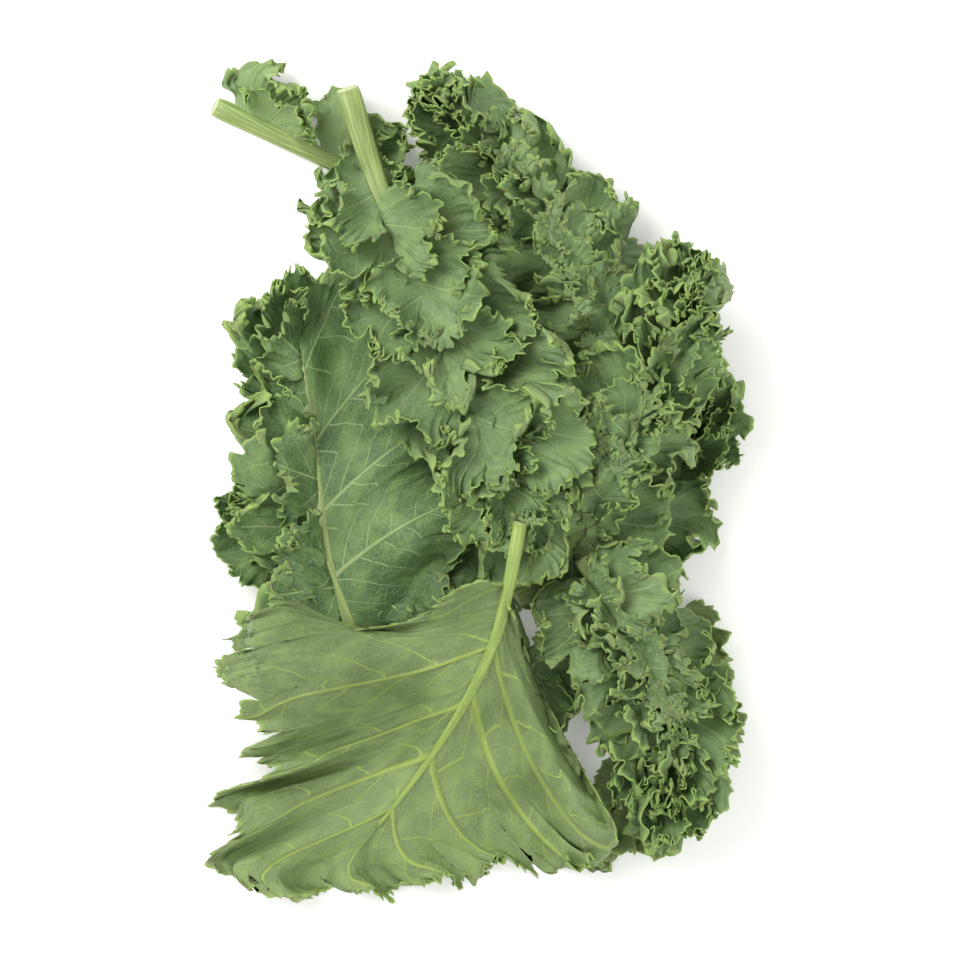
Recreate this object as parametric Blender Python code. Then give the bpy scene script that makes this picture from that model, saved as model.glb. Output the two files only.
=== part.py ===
"""A bunch of curly kale: loose leaves lying in one heap, as picked and stacked.

Each leaf is one solid: a cut stalk that runs on as the rib, with ruffled lobes grown
from both sides of it and one lobe at its end. Plan sizes are in millimetres and are
turned into metres where a mesh is made. Seen from above, +X is to the right, +Y is
towards the end where two cut stalks stick out, and +Z is up off the surface.
"""

import math
from collections import Counter, defaultdict
from dataclasses import dataclass
from itertools import combinations

import bmesh
import bpy
import numpy as np

METRES_PER_MM = 0.001

# Blades and ribs. Angles here and in the leaves are in degrees, shares are of a rib's length.
BLADE_THICKNESS = 1.0
LOBE_ROOT_HALF_WIDTH = 10.0
LOBE_TIP_ROUNDING = 0.24
TIP_LOBE_FAN = 1.6
LENGTH_SPREAD = 0.06
ANGLE_SPREAD = 6.0
LIFT_SPREAD = 4.0
LOBE_ROWS = (0.0, 0.55, 1.0)
LONG_LOBE_ROWS = (0.0, 0.4, 0.74, 1.0)
LONG_LOBE = 70.0
SHORTEST_COLUMN = 0.07
LONGEST_COLUMN = 0.28
LAST_LOBE = 0.93
RUFFLE_GROWTH = 1.25
PRESSED = 0.7  # how high the ruffles stand, as a share of a free leaf's
LOUVRE_TILT = 0.13
TILT_SPREAD = 0.4
RIB_SIDES = 6
RIB_RINGS = 9
RIB_TIP_RADIUS = 1.1
RIB_TAPER = 0.8
RIB_FLATTENING = 0.85
ROOT_HEIGHT_ON_RIB = 0.45
LINE_SAMPLES = 121
SAMPLES_BETWEEN_KNOTS = 16

# The heap
CELL = 2.0
HALF_FIELD = (170.0, 240.0)
LEAF_GAP = 1.0
FLOOR_GAP = 0.4
DRAPE_RADIUS = 14.0
TOUCH_UP_RADIUS = 6.0
RIB_CORRIDOR = 12.0
RIB_STIFFNESS = 34.0
RIB_END_STIFFNESS = 5.0
RIB_SINK = 1.1
RIB_STRIDE = 4
LAY_PASSES = 4
LEAST_RAISE = 0.02
TRIANGLE_LATTICE = 8

LEAF_GREEN = (0.12, 0.27, 0.07, 1.0)
LEAF_UNDERSIDE_GREEN = (0.26, 0.38, 0.17, 1.0)
LEAF_ROUGHNESS = 0.62


@dataclass
class Flank:
    """The lobes down one side of a leaf: their lengths, the first one's place, and their angles."""

    lengths: tuple
    first: float
    spread: tuple


@dataclass
class Leaf:
    """One leaf. Left and right are as seen from above, looking from the cut end to the tip."""

    name: str
    rib_path: tuple
    left: Flank
    right: Flank
    tip_lobe: float
    stalk_radius: float
    lobe_half_width: float
    swing: float
    waves: float
    lift: float
    seed: int
    underside_up: bool = False
    root_half_width: float = LOBE_ROOT_HALF_WIDTH


# In the order in which they lie, the lowest first.
LEAVES = (
    Leaf("leaf_left_under", ((8, -34), (-36, -27), (-70, -26), (-94, -22)),
         Flank((44, 46, 40), 0.22, (70, 45)), Flank((48, 50, 40), 0.18, (70, 45)),
         30, 4.2, 27, 1.4, 2.0, 3, 11),
    Leaf("leaf_centre_under", ((-4, -6), (8, -42), (20, -72), (27, -96)),
         Flank((34, 30), 0.3, (62, 45)), Flank((40, 36, 30), 0.18, (68, 45)),
         26, 4.0, 24, 1.4, 1.8, 3, 12),
    Leaf("leaf_lower_right_under", ((92, -62), (102, -95), (102, -128), (88, -152)),
         Flank((22, 24, 26), 0.2, (65, 45)), Flank((42, 44, 40), 0.16, (65, 45)),
         28, 4.4, 25, 1.2, 2.0, 4, 13, underside_up=True),
    Leaf("leaf_top_outer_stalk",
         ((-126, 179), (-92, 163), (-59, 146), (-22, 119), (13, 88), (42, 54)),
         Flank((26, 34, 48, 54, 54), 0.1, (74, 45)), Flank((48, 58, 56), 0.4, (68, 45)),
         44, 5.0, 27, 1.5, 2.1, 4, 14),
    Leaf("leaf_top_right", ((76, 51), (58, 84), (38, 116), (10, 148), (-14, 172)),
         Flank((44, 44, 38, 28), 0.18, (68, 42)), Flank((40, 42, 42, 32), 0.14, (68, 42)),
         24, 4.4, 26, 1.6, 2.5, 5, 15),
    Leaf("leaf_right_middle", ((18, -56), (52, -38), (80, -17), (98, 6), (104, 28)),
         Flank((50, 52, 44), 0.22, (66, 42)), Flank((42, 36, 30), 0.18, (66, 42)),
         26, 4.4, 27, 1.6, 2.4, 5, 16),
    Leaf("leaf_right_upper", ((38, -37), (60, 0), (78, 36), (90, 64), (95, 84)),
         Flank((52, 52, 46, 36), 0.22, (66, 40)), Flank((40, 36, 34, 30), 0.18, (66, 40)),
         28, 4.4, 27, 1.6, 2.3, 5, 38),
    Leaf("leaf_lower_right", ((48, -36), (67, -65), (81, -93), (90, -120), (90, -144)),
         Flank((42, 44, 42, 34), 0.2, (66, 42)), Flank((42, 44, 42, 36), 0.16, (66, 42)),
         30, 4.4, 25, 1.6, 2.4, 5, 18),
    Leaf("leaf_middle_left", ((-60, -72), (-71, -38), (-75, -7), (-79, 30), (-84, 60)),
         Flank((40, 42, 38), 0.22, (72, 44)), Flank((60, 96, 92, 58), 0.18, (72, 44)),
         36, 4.6, 32, 1.15, 1.8, 5, 19),
    Leaf("leaf_top_inner_stalk",
         ((-62, 185), (-54, 159), (-46, 135), (-31, 100), (-15, 61), (3, 19), (14, -10)),
         Flank((50, 62, 64, 56, 42), 0.35, (70, 42)), Flank((40, 48, 50, 46, 36), 0.31, (70, 42)),
         42, 5.8, 29, 1.4, 1.9, 5, 20),
    Leaf("leaf_lower_left_broad",
         ((19, -19), (13, -51), (6, -77), (-10, -110), (-31, -142), (-48, -164)),
         Flank((106, 82, 38), 0.3, (34, 92)), Flank((104, 124, 94, 102, 86), 0.27, (80, 50)),
         20, 4.6, 31, 0.8, 1.2, 3, 21, underside_up=True, root_half_width=15.0),
)


def smooth_path(points, samples):
    """A smooth curve through the points, sampled evenly along its length."""
    knots = np.array(points, float)
    ends = np.vstack([2 * knots[0] - knots[1], knots, 2 * knots[-1] - knots[-2]])
    share = np.linspace(0, 1, SAMPLES_BETWEEN_KNOTS, endpoint=False)[:, None]
    stretches = []
    for before, start, end, after in zip(ends, ends[1:], ends[2:], ends[3:]):
        leave, arrive = (end - before) / 2, (after - start) / 2
        cubic = 2 * start - 2 * end + leave + arrive
        square = -3 * start + 3 * end - 2 * leave - arrive
        stretches.append(start + leave * share + square * share**2 + cubic * share**3)
    dense = np.vstack([*stretches, knots[-1]])
    run = np.r_[0, np.cumsum(np.linalg.norm(np.diff(dense, axis=0), axis=1))]
    even = np.linspace(0, run[-1], samples)
    return np.column_stack([np.interp(even, run, dense[:, axis]) for axis in range(2)])


class Rib:
    """A leaf's stalk and rib in plan, and its radius along the way."""

    def __init__(self, leaf):
        self.points = smooth_path(leaf.rib_path, LINE_SAMPLES)
        slopes = np.gradient(self.points, axis=0)
        self.headings = np.unwrap(np.arctan2(slopes[:, 1], slopes[:, 0]))
        self.share = np.linspace(0, 1, LINE_SAMPLES)
        self.length = np.linalg.norm(np.diff(self.points, axis=0), axis=1).sum()
        growth = (1 - self.share) ** RIB_TAPER
        self.radii = RIB_TIP_RADIUS + (leaf.stalk_radius - RIB_TIP_RADIUS) * growth

    def at(self, share):
        """Plan point, heading and radius at a share of the length."""
        point = [np.interp(share, self.share, self.points[:, axis]) for axis in range(2)]
        heading = np.interp(share, self.share, self.headings)
        return np.array(point), heading, np.interp(share, self.share, self.radii)


def ruffled_line(swing, waves, phase):
    """A line that swings up and down as a river meanders, over -1 to 1 across."""
    middle = (np.arange(LINE_SAMPLES - 1) + 0.5) / (LINE_SAMPLES - 1)
    slope = swing * np.sin(2 * math.pi * waves * middle + phase)
    across = np.r_[0, np.cumsum(np.cos(slope))]
    height = np.r_[0, np.cumsum(np.sin(slope))]
    height -= np.linspace(0, height[-1], LINE_SAMPLES)
    return 2 * across / across[-1] - 1, 2 * (height - height.mean()) / across[-1]


@dataclass
class Lobe:
    """One lobe of a leaf. Side is 1 for left, -1 for right and 0 for the tip's."""

    share: float
    side: int
    length: float
    angle: float
    phase: float
    lift: float
    tilt: float


def lobes_of(leaf):
    """The leaf's lobes from the stalk to the tip, with seeded differences between them."""
    draw = np.random.default_rng(leaf.seed)
    lobes = []
    for side, flank in ((1, leaf.left), (-1, leaf.right)):
        shares = np.linspace(flank.first, LAST_LOBE, len(flank.lengths))
        angles = np.linspace(*flank.spread, len(flank.lengths))
        for share, angle, length in zip(shares, angles, flank.lengths):
            lobes.append(Lobe(
                share, side, length * draw.uniform(1 - LENGTH_SPREAD, 1 + LENGTH_SPREAD),
                math.radians(angle + draw.uniform(-ANGLE_SPREAD, ANGLE_SPREAD)),
                draw.uniform(0, 2 * math.pi), leaf.lift + draw.uniform(-LIFT_SPREAD, LIFT_SPREAD),
                LOUVRE_TILT * draw.uniform(1 - TILT_SPREAD, 1 + TILT_SPREAD)))
    lobes.append(Lobe(1.0, 0, leaf.tip_lobe, 0.0, draw.uniform(0, 2 * math.pi), leaf.lift, 0.0))
    return lobes


def ruffle_turns(leaf, lobe):
    """Where along a lobe's line its ruffles turn, at crests and troughs, with both ends."""
    first = math.ceil(lobe.phase / math.pi)
    last = math.floor(lobe.phase / math.pi + 2 * leaf.waves)
    turns = (np.arange(first, last + 1) * math.pi - lobe.phase) / (2 * math.pi * leaf.waves)
    inner = turns[(turns > SHORTEST_COLUMN) & (turns < 1 - SHORTEST_COLUMN)]
    places = np.r_[0, inner, 1]
    wide = np.diff(places) > LONGEST_COLUMN
    return np.sort(np.r_[places, (places[:-1] + places[1:])[wide] / 2])


def lobe_surface(leaf, rib, lobe, rows):
    """The middle surface of a lobe, as an array of rows by columns by three."""
    root, heading, radius = rib.at(lobe.share)
    along = np.array([math.cos(heading), math.sin(heading)])
    fan = leaf.lobe_half_width / lobe.length
    root_half = leaf.root_half_width
    if lobe.side == 0:
        along = np.array([-along[1], along[0]])
        fan, root_half = TIP_LOBE_FAN * fan, radius
    root_height = radius * ROOT_HEIGHT_ON_RIB * (-1 if leaf.underside_up else 1)
    picks = (ruffle_turns(leaf, lobe) * (LINE_SAMPLES - 1)).round().astype(int)
    surface = []
    for row in rows:
        across, height = ruffled_line(leaf.swing * row**RUFFLE_GROWTH, leaf.waves, lobe.phase)
        across, height = across[picks], height[picks]
        reach = row * lobe.length * (1 - LOBE_TIP_ROUNDING * across**2)
        if lobe.side == 0:
            headings = heading + fan * across
        else:
            headings = heading + lobe.side * (lobe.angle - fan * across)
        half_width = root_half + row * lobe.length * fan
        x = root[0] + along[0] * root_half * across + reach * np.cos(headings)
        y = root[1] + along[1] * root_half * across + reach * np.sin(headings)
        z = root_height + lobe.lift * row**2
        z = z + half_width * (PRESSED * height + lobe.tilt * row * across)
        surface.append(np.column_stack([x, y, z]))
    return np.array(surface)


def rib_rings(rib, rings):
    """Rings of points round the rib, and the plan point at each ring's centre."""
    turn = 2 * math.pi * (np.arange(RIB_SIDES) + 0.5) / RIB_SIDES
    circles, centres = [], []
    for share in np.linspace(0, 1, rings + 1):
        centre, heading, radius = rib.at(share)
        sideways = radius * np.sin(turn)
        circles.append(np.column_stack([
            centre[0] - math.sin(heading) * sideways,
            centre[1] + math.cos(heading) * sideways,
            -radius * RIB_FLATTENING * np.cos(turn),
        ]))
        centres.append(centre)
    return np.array(circles), np.array(centres)


def grid_triangles(surface, closed=False):
    """Corner points of the triangles of a rows-by-columns surface."""
    if closed:
        surface = np.concatenate([surface, surface[:, :1]], axis=1)
    a, b = surface[:-1, :-1], surface[:-1, 1:]
    c, d = surface[1:, 1:], surface[1:, :-1]
    return np.concatenate([np.stack(corners, axis=2).reshape(-1, 3, 3)
                           for corners in ((a, b, c), (a, c, d))])


def spread(grid, radius, pick):
    """Each cell takes the highest or the lowest of the cells within radius of it."""
    cells = max(1, round(radius / CELL))
    for axis in (0, 1):
        grid = pick.reduce([np.roll(grid, shift, axis) for shift in range(-cells, cells + 1)])
    return grid


def blur(grid, radius):
    """Box blur, done twice at half the radius so that the result has no kinks."""
    cells = max(1, round(radius / CELL / 2))
    for axis in (0, 1, 0, 1):
        grid = sum(np.roll(grid, shift, axis) for shift in range(-cells, cells + 1))
        grid = grid / (2 * cells + 1)
    return grid


def smooth_above(needed, radius):
    """A smooth height field that is nowhere below the one that is needed."""
    high = spread(needed, radius, np.maximum)
    known = np.isfinite(high)
    return blur(np.where(known, high, 0), radius) / np.maximum(blur(known * 1.0, radius), 1e-6)


class Heap:
    """The height of what has been laid so far, in square cells seen from above."""

    def __init__(self):
        self.shape = tuple(int(2 * half / CELL) for half in HALF_FIELD)
        self.top = np.full(self.shape, -math.inf)
        axes = [(np.arange(n) + 0.5) * CELL - half for n, half in zip(self.shape, HALF_FIELD)]
        self.centres = np.stack(np.meshgrid(*axes, indexing="ij"), axis=-1)

    def seen(self, triangles, pick, empty):
        """The highest or the lowest point of the triangles in each cell."""
        steps = np.linspace(0, 1, TRIANGLE_LATTICE)
        weights = np.array([(1 - u, u * (1 - v), u * v) for u in steps for v in steps])
        points = np.einsum("wc,tcx->twx", weights, triangles).reshape(-1, 3)
        cells = ((points[:, :2] + HALF_FIELD) / CELL).astype(int)
        grid = np.full(self.shape, empty)
        pick.at(grid, (cells[:, 0], cells[:, 1]), points[:, 2])
        return spread(grid, CELL, pick)

    def needed(self, triangles):
        """How far each cell of the leaf has to rise to be clear of the heap and the floor."""
        bottom = self.seen(triangles, np.minimum, math.inf)
        floor = np.maximum(spread(self.top, CELL, np.maximum) + LEAF_GAP + BLADE_THICKNESS,
                           FLOOR_GAP + BLADE_THICKNESS / 2)
        return np.where(np.isfinite(bottom), floor - bottom, -math.inf)

    def rise_under(self, leaf, rib, needed):
        """How far to raise the leaf in each cell: it drapes, and its rib stays a smooth line."""
        drape = smooth_above(needed, DRAPE_RADIUS)
        centres = self.centres[:, :, None, :] - rib.points[::RIB_STRIDE]
        away = np.linalg.norm(centres, axis=-1)
        close = np.where(away < RIB_CORRIDOR, needed[:, :, None], -math.inf).max(axis=(0, 1))
        share = rib.share[::RIB_STRIDE]
        bare_share = max(leaf.left.first, leaf.right.first)
        reach = np.interp(share, (0, bare_share), (RIB_END_STIFFNESS, RIB_STIFFNESS))
        near = np.abs(share[:, None] - share) * rib.length < reach[:, None]
        high = np.where(near, close, -math.inf).max(axis=1)
        rib_rise = (near * high).sum(axis=1) / near.sum(axis=1)
        nearest = away.argmin(axis=2)
        stiff = np.exp(-((away.min(axis=2) / RIB_CORRIDOR) ** 2))
        return stiff * rib_rise[nearest] + (1 - stiff) * drape


def looked_up(grid, plan):
    """The grid's value at plan points, between its cells' centres."""
    place = (plan + HALF_FIELD) / CELL - 0.5
    low = np.floor(place).astype(int)
    u, v = (place - low)[..., 0], (place - low)[..., 1]
    i, j = low[..., 0], low[..., 1]
    return ((1 - u) * (1 - v) * grid[i, j] + u * (1 - v) * grid[i + 1, j]
            + (1 - u) * v * grid[i, j + 1] + u * v * grid[i + 1, j + 1])


def raised(rise, lobes, circles, centres):
    """The lobes and the rib's rings, moved up by the rise at each place."""
    up = [lobe + np.dstack([np.zeros(lobe.shape[:2] + (2,)), looked_up(rise, lobe[..., :2])])
          for lobe in lobes]
    lifted = circles.copy()
    lifted[..., 2] += looked_up(rise, centres)[:, None]
    return up, lifted


def lay(heap, leaf):
    """Lays a leaf on the heap. Returns its lobes and its rib's rings, in place."""
    rib = Rib(leaf)
    lobes = [lobe_surface(leaf, rib, lobe, LONG_LOBE_ROWS if lobe.length > LONG_LOBE else LOBE_ROWS)
             for lobe in lobes_of(leaf)]
    circles, centres = rib_rings(rib, RIB_RINGS)

    def triangles_of(some_lobes, rings):
        return np.concatenate([grid_triangles(lobe) for lobe in some_lobes]
                              + [grid_triangles(rings, closed=True)])

    def needed(some_lobes, rings):
        return heap.needed(triangles_of(some_lobes, rings + (0, 0, RIB_SINK)))

    rise = heap.rise_under(leaf, rib, needed(lobes, circles))
    for _ in range(LAY_PASSES):
        placed = raised(rise, lobes, circles, centres)
        short = needed(*placed)
        if short.max() < LEAST_RAISE:
            break
        rise = rise + smooth_above(np.where(np.isfinite(short), np.maximum(short, 0), short),
                                   TOUCH_UP_RADIUS)
    placed = raised(rise, lobes, circles, centres)
    heap.top = np.maximum(heap.top, heap.seen(triangles_of(*placed), np.maximum, -math.inf))
    return placed


def lobe_object(name, surface):
    """A closed blade of even thickness, split into triangles alike on both faces."""
    rows, columns = surface.shape[:2]
    shape = bmesh.new()
    bmesh.ops.create_grid(shape, x_segments=columns - 1, y_segments=rows - 1, size=1)
    shape.verts.ensure_lookup_table()
    for vert, place in zip(shape.verts, surface.reshape(-1, 3)):
        vert.co = place * METRES_PER_MM
    bmesh.ops.triangulate(shape, faces=shape.faces, quad_method="FIXED")
    mesh = bpy.data.meshes.new(name)
    shape.to_mesh(mesh)
    shape.free()
    blade = bpy.data.objects.new(name, mesh)
    solidify = blade.modifiers.new("thickness", "SOLIDIFY")
    solidify.thickness = BLADE_THICKNESS * METRES_PER_MM
    solidify.offset = 0
    return blade


def rib_object(name, circles):
    """The stalk and rib as a closed tube, with a flat spot wherever it rests on the surface."""
    shape = bmesh.new()
    rings = [[shape.verts.new(place * METRES_PER_MM) for place in circle] for circle in circles]
    for near, far in zip(rings, rings[1:]):
        for i in range(RIB_SIDES):
            j = (i + 1) % RIB_SIDES
            shape.faces.new((near[i], near[j], far[j], far[i]))
    shape.faces.new(rings[0][::-1])
    shape.faces.new(rings[-1])
    bmesh.ops.recalc_face_normals(shape, faces=shape.faces)
    if min(vert.co.z for vert in shape.verts) < FLOOR_GAP * METRES_PER_MM:
        cut = bmesh.ops.bisect_plane(
            shape, geom=[*shape.verts, *shape.edges, *shape.faces],
            plane_co=(0, 0, FLOOR_GAP * METRES_PER_MM), plane_no=(0, 0, -1), clear_outer=True)
        edges = [part for part in cut["geom_cut"] if isinstance(part, bmesh.types.BMEdge)]
        bmesh.ops.edgenet_fill(shape, edges=edges)
        bmesh.ops.recalc_face_normals(shape, faces=shape.faces)
    mesh = bpy.data.meshes.new(name)
    shape.to_mesh(mesh)
    shape.free()
    return bpy.data.objects.new(name, mesh)


def leaf_material(leaf):
    material = bpy.data.materials.new(leaf.name)
    material.use_nodes = True
    finish = material.node_tree.nodes["Principled BSDF"]
    green = LEAF_UNDERSIDE_GREEN if leaf.underside_up else LEAF_GREEN
    finish.inputs["Base Color"].default_value = green
    finish.inputs["Roughness"].default_value = LEAF_ROUGHNESS
    finish.inputs["Metallic"].default_value = 0.0
    return material


def keep_outer_skin(mesh):
    """Leaves one shell. Triangles folded flat on each other go, and sealed pockets are filled."""
    mesh.calc_loop_triangles()
    points = np.array([vert.co for vert in mesh.vertices])
    faces = [tuple(triangle.vertices) for triangle in mesh.loop_triangles]
    alike = Counter(frozenset(face) for face in faces)
    faces = [face for face in faces if alike[frozenset(face)] == 1]
    sharing = defaultdict(list)
    for i, face in enumerate(faces):
        for edge in combinations(sorted(face), 2):
            sharing[edge].append(i)
    left, shells = set(range(len(faces))), []
    while left:
        shell, reached = [], [min(left)]
        while reached:
            i = reached.pop()
            if i in left:
                left.remove(i)
                shell.append(i)
                for edge in combinations(sorted(faces[i]), 2):
                    reached += sharing[edge] if len(sharing[edge]) == 2 else []
        shells.append(shell)
    kept = np.array(faces)[sorted(max(shells, key=len))]
    used, kept = np.unique(kept, return_inverse=True)
    mesh.clear_geometry()
    mesh.from_pydata(points[used], [], kept.reshape(-1, 3))


def build_leaf(leaf, lobes, circles):
    """Joins the lobes to the rib in one solid."""
    body = rib_object(leaf.name, circles)
    bpy.context.scene.collection.objects.link(body)
    blades = bpy.data.collections.new(leaf.name + "_lobes")
    bpy.context.scene.collection.children.link(blades)
    for i, surface in enumerate(lobes):
        blades.objects.link(lobe_object(f"{leaf.name}_lobe_{i}", surface))
    union = body.modifiers.new("grown_together", "BOOLEAN")
    union.operation = "UNION"
    union.operand_type = "COLLECTION"
    union.collection = blades
    union.solver = "MANIFOLD"  # where so many blades cross, EXACT leaves edges shared by four faces
    bpy.context.view_layer.objects.active = body
    bpy.ops.object.modifier_apply(modifier=union.name)
    for blade in list(blades.objects):
        bpy.data.objects.remove(blade)
    bpy.data.collections.remove(blades)
    keep_outer_skin(body.data)
    body.data.materials.clear()
    body.data.materials.append(leaf_material(leaf))
    return body


def centre_on_base(bodies):
    """Moves the heap so that the origin is under its middle, on the surface it lies on."""
    corners = np.array([vert.co for body in bodies for vert in body.data.vertices])
    low, high = corners.min(axis=0), corners.max(axis=0)
    for body in bodies:
        for vert in body.data.vertices:
            vert.co.x -= (low[0] + high[0]) / 2
            vert.co.y -= (low[1] + high[1]) / 2
            vert.co.z -= low[2]


def main():
    for old in list(bpy.data.objects):
        bpy.data.objects.remove(old)
    heap = Heap()
    bodies = []
    for leaf in LEAVES:
        lobes, circles = lay(heap, leaf)
        bodies.append(build_leaf(leaf, lobes, circles))
    centre_on_base(bodies)


if __name__ == "__main__":
    main()
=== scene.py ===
"""A bunch of curly kale, dressed: frilled blades with veins and pale margins on ribbed stalks. The
pale margins are partly a painted highlight.

The leaves are laid in the heap as the solids are, and each blade is then made again with
finer frills. Plan sizes are in millimetres until a mesh is made.
"""

import math
from dataclasses import dataclass, replace
from functools import cache

import bmesh
import bpy
import numpy as np
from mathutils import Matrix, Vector


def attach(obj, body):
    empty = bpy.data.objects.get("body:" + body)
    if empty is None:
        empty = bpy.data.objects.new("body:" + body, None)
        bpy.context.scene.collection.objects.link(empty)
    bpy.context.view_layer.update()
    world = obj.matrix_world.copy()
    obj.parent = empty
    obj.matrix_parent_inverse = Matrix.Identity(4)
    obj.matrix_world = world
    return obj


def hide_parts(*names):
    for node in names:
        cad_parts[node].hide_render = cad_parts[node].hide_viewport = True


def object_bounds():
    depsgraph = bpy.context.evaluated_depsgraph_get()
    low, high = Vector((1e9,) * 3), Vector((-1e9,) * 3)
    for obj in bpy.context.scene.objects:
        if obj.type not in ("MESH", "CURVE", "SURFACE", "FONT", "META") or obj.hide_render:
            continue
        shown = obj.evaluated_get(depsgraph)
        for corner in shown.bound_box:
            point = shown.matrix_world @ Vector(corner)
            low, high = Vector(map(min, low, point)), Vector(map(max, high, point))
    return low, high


bl_info = {
    "name": "Curly kale bunch",
    "version": (1, 0, 0),
    "blender": (4, 5, 0),
    "location": "3D View > Sidebar > Kale",
    "description": "Frilled kale leaves, their ribs and stalks, and a pale stage",
    "category": "Object",
}

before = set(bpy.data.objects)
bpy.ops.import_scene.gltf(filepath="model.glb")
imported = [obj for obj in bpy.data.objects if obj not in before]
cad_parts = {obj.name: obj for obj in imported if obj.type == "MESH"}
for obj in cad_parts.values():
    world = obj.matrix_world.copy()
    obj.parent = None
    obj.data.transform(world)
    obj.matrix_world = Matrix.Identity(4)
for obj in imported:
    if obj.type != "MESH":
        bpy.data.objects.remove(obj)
SOLIDS_BOX = [list(corner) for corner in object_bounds()]

METRES_PER_MM = 0.001

# Blades and ribs, as in the solids. Angles here and in the leaves are in degrees, and shares
# are of a rib's length.
BLADE_THICKNESS = 1.0
LOBE_ROOT_HALF_WIDTH = 10.0
LOBE_TIP_ROUNDING = 0.24
TIP_LOBE_FAN = 1.6
LENGTH_SPREAD = 0.06
ANGLE_SPREAD = 6.0
LIFT_SPREAD = 4.0
LOBE_ROWS = (0.0, 0.55, 1.0)
LONG_LOBE_ROWS = (0.0, 0.4, 0.74, 1.0)
LONG_LOBE = 70.0
SHORTEST_COLUMN = 0.07
LONGEST_COLUMN = 0.28
LAST_LOBE = 0.93
RUFFLE_GROWTH = 1.25
PRESSED = 0.7  # how high the ruffles stand, as a share of a free leaf's
LOUVRE_TILT = 0.13
TILT_SPREAD = 0.4
RIB_SIDES = 6
RIB_RINGS = 9
RIB_TIP_RADIUS = 1.1
RIB_TAPER = 0.8
RIB_FLATTENING = 0.85
ROOT_HEIGHT_ON_RIB = 0.45
LINE_SAMPLES = 121
SAMPLES_BETWEEN_KNOTS = 16

# The heap, as in the solids
CELL = 2.0
HALF_FIELD = (170.0, 240.0)
LEAF_GAP = 1.0
FLOOR_GAP = 0.4
DRAPE_RADIUS = 14.0
TOUCH_UP_RADIUS = 6.0
RIB_CORRIDOR = 12.0
RIB_STIFFNESS = 34.0
RIB_END_STIFFNESS = 5.0
RIB_SINK = 1.1
RIB_STRIDE = 4
LAY_PASSES = 4
LEAST_RAISE = 0.02
TRIANGLE_LATTICE = 8

# The shorter lobes over each lobe. What has three values has one for each tier.
TIER_SEED = 500
TIER_PLACE_SPREAD = 0.07
TIER_LENGTH_SPREAD = 0.1
TIER_ANGLE_SPREAD = 0.3  # in radians
TIER_TILT_SPREAD = 0.5
TIER_LIFT = 2.5
TIER_FAN = 1.2
TIER_ROOT_RISE = 0.25
TIER_RISE = (0.0, 0.25, 0.5)
TIER_DETAIL = (1, 0.8, 0.6)

# The curls. Each set has its swing, its length beside the habit's and its depth from the margin.
CURL_SEED = 1000
CURL_SETS = ((0.45, 2.3, 14.0), (1.0, 1.0, 7.0))
CURL_SAMPLES = 4
CURL_DRIFT = 0.35
DRIFT_RATE = 5
DRIFT_SPREAD = (1.5, 4)
SWELL = 0.3
SWELL_TURNS = (1.5, 3.5)
LAST_PHASE = 6  # a little short of a full turn, in radians
MOST_MARGIN = 2.4  # a ruffled margin's length beside the width that it takes up
PRESSED_CURLS = 0.85
CREST_OVERHANG = 0.4

# Fingers, teeth and the margin that turns up. A rate is for each finger.
FINGER_DRIFT = 0.3
FINGER_DRIFT_RATE = 0.31
CLEFT_SPREAD = 0.35
CLEFT_RATE = 0.43
CLEFT_SHARPNESS = 1.5
BEND_SPREAD = 0.4
BEND_RATES = (0.4, 0.8)
BEND_DEPTH = 9.0
TOOTH = 2.1
TOOTH_DEPTH = 2.5
TOOTH_WINDOW = (0.18, 0.64, 0.18)

# The side margins of a lobe, with the lengths of their waves beside the habit's curls
SIDE_SHARPNESS = 3
SIDE_ONSET = 3
SIDE_SWAY = 0.14
SIDE_SWAY_LENGTH = 2.9
SIDE_RIPPLES = ((1.0, 3.4, 2), (0.5, 1.4, 3))  # size, length and how the start is multiplied

# Where blades start, and how wide they fan
MOST_FAN = 1.15
ROOT_ON_UPPER_SIDE = 0.45
ROOT_ACROSS_RIB = 0.8
ROOT_BESIDE_RIB = 0.55
GENTLE_SAMPLES = 801
GENTLE_REACH = 12

# The layer that a leaf's curls keep to
FREE_RISE = 7.0
MOST_PRESSED = 4.0  # how far a neighbour can push a leaf's top or bottom back
SLEEVE_SPREAD = 3.0
SLEEVE_GIVE = 0.6

# The meshes. Away from the margin only every fourth column stays, where the main veins are.
COLUMN_STEP = 4
FINE_DEPTH = 13.0
PLACE_STEP = 400
ROUGH_ROWS = (0.3, 0.6, 0.9)
ROUGH_COLUMNS = 9
SEEN_DEPTH = 5.0
LEAST_SHOWN = 0.12
FULLY_SHOWN = 0.4
USUAL_HALF_WIDTH = 27
VEIN_HALF_BREADTH = (0.5, 0.012)  # at the margin, and further for each millimetre from it
LEAST_VEIN_WEIGHT = 0.02

# Stalks and ribs
FINE_RIB_SIDES = 20
FINE_RIB_RINGS = 64
GROOVE_DEPTH = 0.22
GROOVE_BREADTH = 0.28
END_ROUNDING = 0.1
END_ROUNDING_REACH = 0.8
CUT_SLANT = 0.35
CUT_SLANT_REACH = 12
FAR_FROM_MARGIN = 40

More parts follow.
